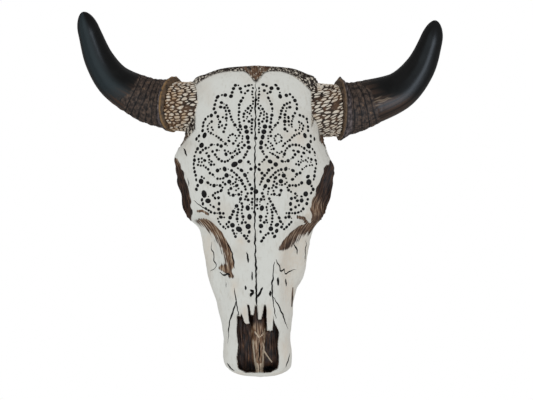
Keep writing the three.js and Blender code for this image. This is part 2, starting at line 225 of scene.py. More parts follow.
def cell_edge(points, jitter, wrap=None):
    """How far each point is from the edge between cells, 0 on it: the second nearest seed's distance less
    the nearest one's. There is one seed in each unit square or cube, placed by a hash of its indices. A
    jitter below 1 keeps seeds near the middle, and wrap closes the first axis on itself after so many
    cells."""
    axes = points.shape[-1]
    home = np.floor(points)
    nearest = np.full(points.shape[:-1], 9.0)
    second = nearest.copy()
    mixing = np.array([[127.1, 269.5, 113.5], [311.7, 183.3, 271.9], [74.7, 246.1, 124.6]])[:axes, :axes]
    for step in np.ndindex(*(3,) * axes):
        cell = home + np.array(step) - 1
        key = cell + 17
        if wrap:
            key[..., 0] %= wrap
        hashed = np.modf(np.abs(np.sin(key @ mixing)) * 4375.85)[0]
        seed = cell + 0.5 + jitter * (hashed - 0.5)
        distance = np.linalg.norm(points - seed, axis=-1)
        second = np.minimum(second, np.maximum(nearest, distance))
        nearest = np.minimum(nearest, distance)
    return second - nearest


print("formulas ready")

# %% [markdown]
# ## From arrays to meshes
# Every piece is a grid of points that closes on itself. Points that coincide, at a pole or along a
# seam, become one vertex, and each cell of the grid becomes two triangles, so that the mesh is closed
# without any search afterwards.


# %% Grid to mesh
def mesh_piece(name, points, triangles, materials, values=None, material_index=0):
    """A mesh object from points in millimetres and rows of three indices. values holds one number for
    each point under a name, which the materials read."""
    keys = np.round(points * 1000).astype(np.int64)
    _, first, index = np.unique(keys, axis=0, return_index=True, return_inverse=True)
    corners = index.reshape(-1)[triangles]
    a, b, c = corners.T
    corners = corners[(a != b) & (b != c) & (c != a)]
    mesh = bpy.data.meshes.new(name)
    mesh.from_pydata((points[first] * MM).tolist(), [], corners.tolist())
    for material in materials:
        mesh.materials.append(material)
    mesh.polygons.foreach_set("material_index", np.full(len(corners), material_index, np.int32))
    for key, value in (values or {}).items():
        set_value(mesh, key, value[first])
    mesh.shade_smooth()
    piece = bpy.data.objects.new(name, mesh)
    bpy.context.scene.collection.objects.link(piece)
    return piece


def set_value(mesh, key, value):
    """Stores one number for each vertex under a name."""
    attribute = mesh.attributes.new(key, "FLOAT", "POINT")
    attribute.data.foreach_set("value", np.asarray(value, np.float32))


def grid_triangles(rows, columns):
    """Two triangles for each cell of a grid whose last column joins the first."""
    row, column = np.meshgrid(np.arange(rows - 1), np.arange(columns), indexing="ij")
    after = (column + 1) % columns
    a, b = row * columns + column, row * columns + after
    c, d = b + columns, a + columns
    return np.concatenate([np.stack([a, d, c], -1).reshape(-1, 3), np.stack([a, c, b], -1).reshape(-1, 3)])


def pushed_out(grid, height):
    """A grid moved along its own normals, the cross product of its steps round and along."""
    round_step = np.roll(grid, -1, axis=1) - np.roll(grid, 1, axis=1)
    along_step = np.gradient(grid, axis=0)
    normal = np.cross(round_step, along_step)
    normal /= np.maximum(np.linalg.norm(normal, axis=-1, keepdims=True), 1e-9)
    return grid + normal * height[..., None]


def carve(body, cutter):
    """Cuts one closed mesh out of another for good. The cut faces keep the cutter's material index."""
    cut = body.modifiers.new("carve", "BOOLEAN")
    cut.operation = "DIFFERENCE"
    cut.solver = "MANIFOLD"
    cut.object = cutter
    carved = bpy.data.meshes.new_from_object(body.evaluated_get(bpy.context.evaluated_depsgraph_get()))
    body.modifiers.clear()
    old = body.data
    body.data = carved
    bpy.data.meshes.remove(old)
    bpy.data.objects.remove(cutter)


print("mesh helpers ready")

# %% [markdown]
# ## Paints
# The whole thing is resin, so every finish is a paint: ivory acrylic with a thin brown wash that stays
# in the low places, thick dark brown inside the drilled dots and cracks, and satin black on the horns.
# Each material mixes its colours by numbers stored on the vertices (how much wash, how near a groove)
# and breaks their edges with noise, because a brush never stops on a line.


# %% Patterns and layers
# Half the range over which a brushed edge goes from bare to full.
EDGE_HALF = 0.14


def per_mm(size):
    """Texture scale, on coordinates in metres, that gives a pattern of this size in millimetres."""
    return 1 / (size * MM)


def new_material(name):
    """An empty material, its node tree and the object's own coordinates."""
    material = bpy.data.materials.new(name)
    material.use_nodes = True
    tree = material.node_tree
    tree.nodes.clear()
    return material, tree, add(tree, "TexCoord", output="Object")


def coated(material, inputs):
    """Ends a material: its shader takes the inputs, and its surface takes the shader."""
    shader = add(material.node_tree, "BsdfPrincipled", inputs)
    add(material.node_tree, "OutputMaterial", {"Surface": shader}, None)
    return material


def patterns(tree, place, stored, noises, ranges):
    """The shares that a paint mixes by, under their names: numbers that the mesh stores, noises of a size
    in millimetres and a detail, and ranges. A range turns an earlier share smoothly into 0 at its low value
    and 1 at its high one, or into two other ends."""
    share = {}
    for key in stored:
        share[key] = add(tree, "Attribute", None, "Fac", attribute_name=key)
    for key, (size, detail) in noises.items():
        share[key] = add(tree, "TexNoise", {"Vector": place, "Scale": per_mm(size), "Detail": detail})
    for key, (source, low, high, *ends) in ranges.items():
        numbers = {"Value": share[source], "From Min": low, "From Max": high}
        if ends:
            numbers["To Min"], numbers["To Max"] = ends
        share[key] = add(tree, "MapRange", numbers, interpolation_type="SMOOTHSTEP")
    return share


def layered(tree, ground, *layers):
    """A ground colour with layers laid over it in turn, each a share and a colour."""
    for share, colour in layers:
        ground = add(tree, "Mix", {0: share, 6: ground, 7: colour}, 2, data_type="RGBA")
    return ground


def brushed_edge(tree, share, ragged, amount):
    """A share made ragged: noise times an amount is added to it, and the sum is cut off steeply round one
    half."""
    shifted = add(tree, "Math", {0: ragged, 1: amount, 2: share}, operation="MULTIPLY_ADD")
    middle = 0.5 + amount / 2
    numbers = {"Value": shifted, "From Min": middle - EDGE_HALF, "From Max": middle + EDGE_HALF}
    return add(tree, "MapRange", numbers, interpolation_type="SMOOTHSTEP")


print("paint helpers ready")

# %% [markdown]
# ### Ivory acrylic with a brown wash
# Acrylic paint on cast resin is dull and slightly uneven: grit of about a millimetre, faint warm clouds
# where the wash was wiped off, and brown streaks where it was left. The streaks run along the hollows
# like hair, so the mesh stores for each vertex how far it lies across them, and the noise is drawn long
# the other way. The gloss is low, with an IOR of about 1.5.

# %% Bone paint and the paint of the low places
IVORY, IVORY_WARM, IVORY_RUBBED, BEIGE = "#d1d1cb", "#cac6bd", "#b3aea2", "#d2c3b1"
WASH_DARK, WASH_MID, WASH_LIGHT, WASH_PALE = "#200f05", "#472a16", "#7a5739", "#b9a48b"
PEBBLE, NET_BROWN = "#ccc4b6", "#2b1d14"
# The first colour below is painted shade: the near-black laid into the deep pits at the nose's foot.
PIT_SHADE, RIDGE_CREAM = "#0b0807", "#c3b29d"
ACRYLIC_IOR, RESIN_IOR = 1.5, 1.5
# How much longer than wide the rubbed marks are, and how far heights are shrunk to draw streaks long.
RUB_STRETCH, STREAK_SHARE = 2.5, 0.12


def bone_paint():
    """Ivory paint, rubbed greyer in places, with what the mesh stores laid over it: beige stain, pebbled net,
    streaked brown wash, pale where it was wiped, cream on the ridges of the nose and painted shade in its
    pits."""
    material, tree, place = new_material("ivory_acrylic_on_resin")
    stored = ("stain", "net", "net_line", "lie", "wiped", "brown", "ridge", "pit")
    noises = {"clouds": (40, 3), "grit": (1.1, 3), "ragged": (5, 4), "blots": (2, 3)}
    ranges = {"warm": ("clouds", 0.45, 0.75), "soaked": ("ragged", 0.1, 0.65)}
    ranges["dull"] = ("grit", 0.3, 0.7, 0.55, 0.72)
    share = patterns(tree, place, stored, noises, ranges)
    upright = add(tree, "Mapping", {"Vector": place, "Scale": (1, 1, 1 / RUB_STRETCH)})
    share |= patterns(tree, upright, (), {"rubs": (3.2, 5)}, {"rubbed": ("rubs", 0.5, 0.75, 0.0, 0.4)})

    height = add(tree, "SeparateXYZ", {"Vector": place}, "Z")
    drawn_out = add(tree, "Math", {0: height, 1: STREAK_SHARE}, operation="MULTIPLY")
    combed = add(tree, "CombineXYZ", {"X": share["lie"], "Y": drawn_out})
    ranges = {"thin": ("hair", 0.4, 0.58), "thinner": ("hair", 0.6, 0.72)}
    ranges |= {"faint": ("hair", 0.36, 0.48), "fainter": ("hair", 0.5, 0.62)}
    share |= patterns(tree, combed, (), {"hair": (1.6, 4)}, ranges)
    dark_wash = layered(tree, WASH_DARK, (share["thin"], WASH_MID), (share["thinner"], WASH_LIGHT))
    pale_wash = layered(tree, WASH_MID, (share["faint"], WASH_LIGHT), (share["fainter"], WASH_PALE))
    wash = layered(tree, dark_wash, (share["wiped"], pale_wash))

    between_hairs = add(tree, "Math", {0: 1.0, 1: share["hair"]}, operation="SUBTRACT")
    brown = brushed_edge(tree, share["brown"], between_hairs, 1.3)
    ridge = brushed_edge(tree, share["ridge"], share["ragged"], 0.5)
    net_line = brushed_edge(tree, share["net_line"], share["blots"], 0.5)
    pebbled = layered(tree, PEBBLE, (net_line, NET_BROWN))
    stain = add(tree, "Math", {0: share["stain"], 1: share["soaked"]}, operation="MULTIPLY")
    bare = layered(tree, IVORY, (share["warm"], IVORY_WARM), (share["rubbed"], IVORY_RUBBED), (stain, BEIGE))
    washed = layered(tree, bare, (share["net"], pebbled), (brown, wash))
    # Painted shade: the pits at the nose's foot are laid over in near-black.
    colour = layered(tree, washed, (ridge, RIDGE_CREAM), (share["pit"], PIT_SHADE))
    relief = add(tree, "Bump", {"Height": share["grit"], "Strength": 0.25, "Distance": 0.4 * MM})
    inputs = {"Base Color": colour, "Roughness": share["dull"], "Normal": relief, "IOR": ACRYLIC_IOR}
    return coated(material, inputs)


def groove_paint():
    """Thick dark brown paint in the drilled dots and cracks, a little lighter where it ran thin."""
    material, tree, place = new_material("dark_brown_groove_paint")
    share = patterns(tree, place, (), {"runs": (3, 2)}, {"thin": ("runs", 0.52, 0.8)})
    colour = layered(tree, "#100b09", (share["thin"], "#2a1d16"))
    return coated(material, {"Base Color": colour, "Roughness": 0.7, "IOR": ACRYLIC_IOR})


def back_resin():
    """Bare cast resin at the back, as it left the mould: grey-beige, with faint pour clouds."""
    material, tree, place = new_material("bare_cast_resin")
    noises = {"pour": (45, 4), "grain": (2, 4)}
    share = patterns(tree, place, (), noises, {"clouds": ("pour", 0.35, 0.65)})
    colour = layered(tree, "#b3ac9e", (share["clouds"], "#c7c1b4"))
    relief = add(tree, "Bump", {"Height": share["grain"], "Strength": 0.3, "Distance": 0.5 * MM})
    return coated(material, {"Base Color": colour, "Roughness": 0.6, "Normal": relief, "IOR": RESIN_IOR})


SKULL_PAINTS = [bone_paint(), groove_paint(), back_resin()]
BONE, GROOVE, BACK = range(3)
print("skull paints:", [paint.name for paint in SKULL_PAINTS])

# %% [markdown]
# ## The skull's form
# A skull could be sculpted, or stacked from rings. Here it is one closed surface over two parameters:
# how far down from crown to muzzle, and how far round from the middle of the face to the middle of the
# back. Sections at a few heights give the outline, the depth of the midline and the depth of the widest
# line, and a few formulas push hollows into the front. The solids of the frame follow the same
# sections, so both have one outline.

# %% Sections
# Height, reach to the left, reach to the right, depth of the midline, depth of the widest line.
SECTIONS = np.array([
    [153.5, 0, 0, 66, 58], [150.5, 37.5, 40.5, 73, 58], [144, 58.5, 60, 84, 58], [136.5, 74, 73, 91, 57],
    [112, 80, 78, 101, 55], [86, 83, 79, 108, 55], [66, 86, 81, 112, 56], [56, 92, 83.5, 113, 57],
    [44, 98, 88.5, 114, 58], [30, 96.5, 94.5, 115.5, 58], [12, 95.5, 93.5, 116.5, 58],
    [-4, 90.5, 90, 117, 58], [-18, 87.5, 84.5, 117, 58], [-30, 80.5, 78.5, 117, 58],
    [-43, 67.5, 68.5, 117, 58], [-70, 62.5, 62.5, 116, 57], [-100, 57.5, 56.5, 113, 55],
    [-114, 53, 48.5, 111, 54], [-130, 47, 45.5, 108.5, 52], [-144, 44.5, 44.5, 106.5, 51],
    [-158, 41, 42, 104, 49], [-173, 38.5, 41, 100, 48], [-190, 39.5, 43, 96, 47], [-203, 38, 43, 91.5, 46],
    [-211, 32, 39.5, 87, 45], [-217, 18, 27, 80, 45], [-219, -5.5, 5.5, 72, 45],
])
FOREHEAD_BOW = 0.0022
SIDE_ROUNDNESS = 5
fine_sections = spline(SECTIONS, np.linspace(0, 1, 6001))[::-1]


def section(z):
    """Middle and half-width of the outline, depth of the midline and of the widest line, at a height."""
    left, right, front, edge = (np.interp(z, fine_sections[:, 0], fine_sections[:, k]) for k in (1, 2, 3, 4))
    return (right - left) / 2, (right + left) / 2, front, edge


print(f"skull from {SECTIONS[-1, 0]} to {SECTIONS[0, 0]} mm")

# %% [markdown]
# ## Hollows and ridges of the face
# Each feature of the face is a depth to take away at a place seen from the front: the panel of the eye
# socket outside the slanting brow, the cheek beside the nose bridge, the nose opening between its four
# bony fingers, the valley of the suture, and the step from the smooth forehead plate down to the
# pebbled crown.

# %% Features of the face
# The brow's edge as (height, distance from the middle), on the left and on the right.
BROW_EDGES = {
    -1: [(-40, 76), (-30, 76), (-9, 76), (10, 80.5), (30, 87.5), (44, 93.5), (70, 102)],
    1: [(-40, 68), (-32, 66.5), (-12, 64), (8, 72.5), (23, 78), (34, 82.5), (70, 98)],
}
SOCKET_TOPS = {-1: 45, 1: 37}
SOCKET_DEPTH, CHEEK_DEPTH, HOLLOW_DEPTH = 9, 18, 6
NOSE_DEPTH, VOMER_HEIGHT, PIT_DEPTH = 15, 9, 5
VALLEY_DEPTH, PLATE_STEP, KNOB_HEIGHT = 1.3, 2.6, 3.5
BRIDGE_HALF, BRIDGE_FLARE, BRIDGE_FLARE_LENGTH, BRIDGE_ROOT_Z = 26, 38, 24, -20
# Place and half-width of each nasal finger at its root, then at its tip, then the tip's height.
NASAL_FINGERS = [
    (-15.6, 5.6, -9.4, 2.8, -156.5),
    (-4.6, 3.8, -4.3, 1.4, -146),
    (5.7, 4.6, 4.5, 1.6, -151),
    (16.6, 4.9, 16.6, 3.4, -165),
]
FINGER_ROOT_Z = -131
NOSE_TOP_Z, NOSE_TOP_ARCH, NOSE_HALF, NOSE_FOOT_Z = -146, 14, 24, -212
# Middle, half-width and half-height of the pits at the nose's foot.
PITS = [(-10, -207, 11, 8), (16.5, -209.5, 9, 5.5)]
BROW_KNOBS = [(-70, -18), (64, -23)]
SUTURE = np.array([[134, 0], [70, -0.8], [-31, -1.4], [-88, 0], [-139, 1.5], [-160, 4]])


def suture_x(z):
    """The suture's place across, a line through a few measured points."""
    return np.interp(z, SUTURE[::-1, 0], SUTURE[::-1, 1])


def outside_brow(x, z):
    """How far a place lies outside the brow's edge on its side, negative inside it."""
    edges = {side: np.interp(z, *np.array(points).T) for side, points in BROW_EDGES.items()}
    return np.abs(x) - np.where(x < 0, edges[-1], edges[1])


def bridge_edge(z):
    """Half-width of the nose bridge: it flares by an exponential towards the brow."""
    return BRIDGE_HALF + BRIDGE_FLARE * np.exp((z - BRIDGE_ROOT_Z) / BRIDGE_FLARE_LENGTH)


def socket_top(x):
    """Height of the socket's upper end, lower on the right."""
    return np.where(x < 0, SOCKET_TOPS[-1], SOCKET_TOPS[1])


def socket_drop(x, z):
    """Panel of the eye socket: a step down outside the brow's edge that fades out above and below."""
    panel = smoothstep(outside_brow(x, z), 0, 4)
    upright = smoothstep(z, -34, -26) * (1 - smoothstep(z, socket_top(x) - 8, socket_top(x)))
    return SOCKET_DEPTH * panel * upright


def cheek_drop(x, z):
    """Cheek beside the bridge, a smooth step, with a bell-shaped hollow along it."""
    outside = np.abs(x) - bridge_edge(z)
    cheek = CHEEK_DEPTH * smoothstep(outside, 0, 15) * smoothstep(z, -168, -105)
    hollow = HOLLOW_DEPTH * bump(outside - 7, 7) * smoothstep(z, -102, -84)
    return (1 - smoothstep(z, -38, -20)) * (cheek + hollow)


def finger_cover(x, z):
    """1 under a finger of the nasal bones, a blade that narrows and leans from its root to its tip, and
    everywhere above the roots, so that slits are left between the blades."""
    cover = np.zeros(np.broadcast(x, z).shape)
    for root_x, root_half, tip_x, tip_half, tip_z in NASAL_FINGERS:
        share = np.clip((z - tip_z) / (FINGER_ROOT_Z - tip_z), 0, 1)
        half = tip_half + (root_half - tip_half) * share
        away = np.abs(x - tip_x - (root_x - tip_x) * share)
        blade = 1 - smoothstep(away, half - 0.7, half + 0.7)
        above = smoothstep(z, FINGER_ROOT_Z - 3, FINGER_ROOT_Z + 1)
        cover = np.maximum(cover, smoothstep(z, tip_z, tip_z + 3) * np.maximum(blade, above))
    return cover


def vomer(z):
    """Middle and half-width of the bone that stands in the nose: it narrows towards its foot."""
    return np.interp(z, [-217, -190, -160], [4.5, 3.2, 2.9]), np.interp(z, [-217, -200, -165], [3.8, 6, 8.6])


def pit_share(x, z):
    """1 in the middle of each pit at the nose's foot."""
    return sum(bump(np.hypot((x - px) / rx, (z - pz) / rz), 1.0) for px, pz, rx, rz in PITS)


def nose_drop(x, z):
    """Nose opening: a flat hollow with a ridge in its middle and two pits, open where no finger lies. Its
    walls wave a little, and its corners are rounded."""
    across = x - 2.4 * (1 - smoothstep(z, -170, -120))
    wall = np.abs(across) + 0.7 * np.sin(z / 5) + 4 * (across > 0) * smoothstep(z, -167, -148)
    top = NOSE_TOP_Z + NOSE_TOP_ARCH * (1 - smoothstep(wall, 14, 20))
    foot = NOSE_FOOT_Z + 4 * smoothstep(wall, 14, 24)
    upright = smoothstep(z, foot - 2, foot + 2) * (1 - smoothstep(z, top - 3, top + 3))
    inside = (1 - smoothstep(wall, NOSE_HALF - 1.4, NOSE_HALF + 1)) * upright
    middle, half = vomer(z)
    ridge = VOMER_HEIGHT * (1 - smoothstep(np.abs(x - middle), half - 3, half + 1))
    return inside * (1 - finger_cover(x, z)) * (NOSE_DEPTH - ridge + PIT_DEPTH * pit_share(x, z))


def plate_top(x):
    """Upper edge of the smooth forehead plate: two lobes that fall off outwards, with a notch between."""
    fall = np.where(x < 0, np.maximum(-x - 30, 0) / 42, np.maximum(x - 24, 0) / 34)
    return 146 - 13 * bump(x, 8) - 16 * fall**2


def plate_side(x, z):
    """Side edge of the plate: upright beside the horn core, then out to the brow."""
    return np.where(x < 0, 72 + 0.9 * np.maximum(77 - z, 0), 66 + 0.9 * np.maximum(74 - z, 0))


def net_share(x, z, depth):
    """1 on the pebbled crown and temples, 0 on the smooth plate with its spike on the right, on the face
    below and on the back."""
    plate = smoothstep(plate_top(x) - z, -1.2, 0.8) * smoothstep(plate_side(x, z) - np.abs(x), -1.2, 0.8)
    spike = smoothstep(x - 63 - 0.42 * (z - 72), -0.8, 0.8) * smoothstep(75 - 0.1 * (z - 72) - x, -0.8, 0.8)
    plate = np.maximum(plate, spike * (1 - smoothstep(z, 90, 94)))
    return (1 - plate) * smoothstep(z, 44, 54) * smoothstep(depth, 8, 20)


def face_drop(x, z):
    """Everything that is taken from the front at a place."""
    upright = smoothstep(z, -150, -130) * (1 - smoothstep(z, 128, 138))
    valley = VALLEY_DEPTH * bump(x - suture_x(z), 3.5) * upright
    knobs = sum(KNOB_HEIGHT * bump(np.hypot(x - kx, z - kz), 7) for kx, kz in BROW_KNOBS)
    hollows = socket_drop(x, z) + cheek_drop(x, z) + nose_drop(x, z)
    return FOREHEAD_BOW * x**2 + hollows + valley + PLATE_STEP * net_share(x, z, 60) - knobs


def front_depth(x, z):
    """Depth of the front: the midline's depth less all drops, rounded off to the widest line."""
    middle, half, front, edge = section(z)
    across = np.clip(np.abs(x - middle) / np.maximum(half, 1e-6), 0, 1)
    return edge + (front - face_drop(x, z) - edge) * np.sqrt(1 - across**SIDE_ROUNDNESS)


print(f"forehead {front_depth(0.0, 60.0):.1f} mm, bridge {front_depth(8.0, -80.0):.1f} mm from the wall")

# %% [markdown]
# ## The skull as one surface
# The columns run from the middle of the face over the side to the middle of the flat back, and close
# up. The rows stand evenly along the outline. Small relief goes on last, along the surface's own
# normals: pebbles on the crown, streaks in the hollows, and the slight waves of hand-smoothed bone.

# %% Skull surface
FRONT_COLUMNS, SIDE_COLUMNS, BACK_COLUMNS, SKULL_ROWS = 78, 18, 3, 276
BACK_SCALE, BACK_CENTRE_Z, SIDE_HOLLOW = 0.82, -20, 0.05
MUZZLE_LIFT = 26
PEBBLE_SIZE, PEBBLE_JITTER, PEBBLE_HEIGHT = 3.8, 0.95, 1.6
STREAK_HEIGHT, RIDGE_HEIGHT, BROAD_WAVE, FINE_WAVE = 0.5, 1.2, 0.35, 0.12
# Inner edge of the brown hollow beside the bridge as (height, distance from the middle), for each side.
HOLLOW_EDGES = {
    -1: [(-93, 27), (-79.5, 25.5), (-63.5, 30), (-46, 39.7), (-34.5, 51), (-27, 62)],
    1: [(-72, 25.5), (-66.7, 26.2), (-57, 31), (-46, 40.7), (-37.7, 52), (-34, 66)],
}
HOLLOW_REACH = {-1: 20, 1: 23}
HOLLOW_FOOT = {-1: -95, 1: -72}
# Width and path of single brush marks of brown on the brows and cheeks.
DABS = [
    (1.7, [(-69, -20.5), (-63, -20), (-57, -24)]),
    (2.4, [(50, -27.5), (57, -29), (61, -35)]),
    (3.4, [(-41, -88), (-34, -92), (-29, -97)]),
    (1.1, [(44, -112), (43.4, -122), (43, -134)]),
]
# How far the wash of each hollow was wiped pale.
HOLLOW_WIPED = {-1: 0.8, 1: 0.45}
# Raised lines across the nose opening, as points (x, z).
NOSE_LINES = [[(9.6, -187), (14, -194), (19, -201)], [(-1, -164), (4, -171), (9, -166), (11, -160)]]
# Middle, radius and share of the places where the wash of the sockets was wiped thinner.
WIPED = [(-93, 38, 7, 0.6), (69, -18, 12, 0.75)]
# Depth and height of the eyes' middles, and how far the wash reaches behind and above them.
EYE_DEPTH, EYE_Z = 69, 8
EYE_OVAL = (30, 52)


def muzzle_lift(z):
    """How far the back of the muzzle stands off the wall."""
    return MUZZLE_LIFT * (1 - smoothstep(z, -215, -105))


def skull_grid():
    """Points of the skull: rows from crown to muzzle, columns round each section."""
    outline = fine_sections[::-1]
    half_width = (outline[:, 1] + outline[:, 2]) / 2
    z = evenly(np.stack([half_width, outline[:, 0]], axis=1), SKULL_ROWS)[:, 1:]
    column_count = FRONT_COLUMNS + SIDE_COLUMNS + BACK_COLUMNS
    column = np.arange(-column_count + 1, column_count + 1)[None, :]
    side, step = np.sign(column), np.abs(column)
    middle, half, _, edge = section(z)
    half[[0, -1]] = 0

    t = np.minimum(step / FRONT_COLUMNS, 1)
    x_front = middle + side * half * (0.35 * t + 0.65 * np.sin(t * np.pi / 2))
    back = np.clip((step - FRONT_COLUMNS) / SIDE_COLUMNS, 0, 1)
    closing = np.clip((step - FRONT_COLUMNS - SIDE_COLUMNS) / BACK_COLUMNS, 0, 1)
    inset = 1 - (1 - BACK_SCALE) * back**2
    x_side = middle + side * half * (inset - SIDE_HOLLOW * np.sin(np.pi * back)) * (1 - closing)
    depth_side = edge + (muzzle_lift(z) - edge) * back
    z_side = BACK_CENTRE_Z + (z - BACK_CENTRE_Z) * inset

    in_front = step <= FRONT_COLUMNS
    x = np.where(in_front, x_front, x_side)
    depth = np.where(in_front, front_depth(x_front, z), depth_side)
    return np.stack([x, -depth, np.where(in_front, z, z_side)], axis=-1)


def hollow_share(x, z, depth):
    """Wash in the hollows beside the bridge, full at their inner edge and fading outwards, and in the
    dabs."""
    share = sum(bump(near_line(x, z, line), width) for width, line in DABS)
    for side, points in HOLLOW_EDGES.items():
        heights, edges = np.array(points).T
        outside = np.sign(side * x - np.interp(z, heights, edges))
        away = outside * near_line(x, z, [(side * edge, height) for height, edge in points])
        band = smoothstep(away, -1, 0.8) * (1 - smoothstep(away, 1, HOLLOW_REACH[side]))
        foot = HOLLOW_FOOT[side]
        share = share + band * (side * x > 0) * smoothstep(z, foot, foot + 10) * (1 - smoothstep(z, -32, -26))
    return np.clip(share, 0, 1) * smoothstep(depth, 60, 70)


def brown_share(x, z, depth):
    """Where the brown wash was left: eye sockets, hollows, dabs and the nose opening."""
    top = socket_top(x)
    wander = ripple(np.stack(np.broadcast_arrays(x, z), axis=-1), 13, 5)
    socket = smoothstep(outside_brow(x, z) + 1.1 * wander, -0.5, 2.5) * smoothstep(z, -36, -30)
    behind = np.maximum(EYE_DEPTH - depth, 0)
    oval = np.hypot(behind / EYE_OVAL[0], (z - EYE_Z) / EYE_OVAL[1]) + 0.04 * wander
    socket = socket * (1 - smoothstep(z + 2 * wander, top - 4, top + 1)) * (1 - smoothstep(oval, 0.82, 0.98))
    nose = smoothstep(nose_drop(x, z), 1.5, 4) * smoothstep(depth, 48, 55)
    return np.clip(np.maximum(np.maximum(socket, nose), hollow_share(x, z, depth)), 0, 1)


def ridge_share(x, z, depth):
    """1 on the thin raised lines inside the nose: along both flanks of the vomer, over its foot, and two
    more."""
    middle, half = vomer(z)
    away = np.abs(x - middle)
    flanks = bump(away - half + 1.4, 1.1) * (1 - smoothstep(z, -178, -166))
    foot = (1 - smoothstep(away, half - 1, half + 0.5)) * (1 - smoothstep(z, -206, -197))
    split = bump(x - middle, 0.7) * (1 - smoothstep(z, -180, -174))
    lines = sum(bump(near_line(x, z, line), 0.9) for line in NOSE_LINES)
    inside = smoothstep(nose_drop(x, z), 1.0, 3.0) * smoothstep(depth, 48, 55)
    return np.clip(np.maximum(flanks, foot) * (1 - split) + lines, 0, 1) * inside


def lie_across(x, z):
    """How far a place lies across the streaks of the wash: along the bridge or the brow, upright in the
    nose, and fanned out over the notch of the crown."""
    face = np.where(np.abs(x) < 24, x, np.abs(x) - bridge_edge(z))
    head = np.where(z > 126, 16 * x / np.maximum(z - 122, 4), outside_brow(x, z))
    return np.where(z > -31, head, face)


def skull_piece():
    """The closed skull with its small relief, in ivory paint."""
    grid = skull_grid()
    x, depth, z = grid[..., 0], -grid[..., 1], grid[..., 2]
    net = net_share(x, z, depth)
    pebbles = smoothstep(cell_edge(grid / PEBBLE_SIZE, PEBBLE_JITTER), 0.05, 0.45)
    brown = brown_share(x, z, depth)
    streaks = ripple(np.stack([lie_across(x, z), STREAK_SHARE * z], axis=-1), 3.2, 3)
    waves = BROAD_WAVE * ripple(grid, 26, 1) + FINE_WAVE * ripple(grid, 7, 2)
    relief = net * PEBBLE_HEIGHT * (pebbles - 0.5) + brown * STREAK_HEIGHT * streaks
    relief = relief + (1 - net) * (1 - brown) * waves + RIDGE_HEIGHT * ridge_share(x, z, depth)
    relief = relief * smoothstep(depth, 2, 10)
    relief[[0, 1, -2, -1]] = 0
    rows, columns = depth.shape
    points = pushed_out(grid, relief).reshape(-1, 3)
    return mesh_piece("skull", points, grid_triangles(rows, columns), SKULL_PAINTS)


skull = skull_piece()
print(f"skull: {len(skull.data.polygons)} triangles before carving")

# %% [markdown]
# ## Drilled arabesque
# The forehead carries a traditional dotted ornament: scrolls, leaves and a small fountain of fronds,
# mirrored about the suture. Each dot is a blind hole filled with dark paint, and some holes are drawn
# out along their stroke. The strokes are drawn as a few points each, on one half, as distance out from
# the suture and height. Dots of seeded, slightly varied sizes are set along both halves. One that would
# run into an earlier dot is made smaller, or left out where there is no room, so that each one is a
# hole of its own.

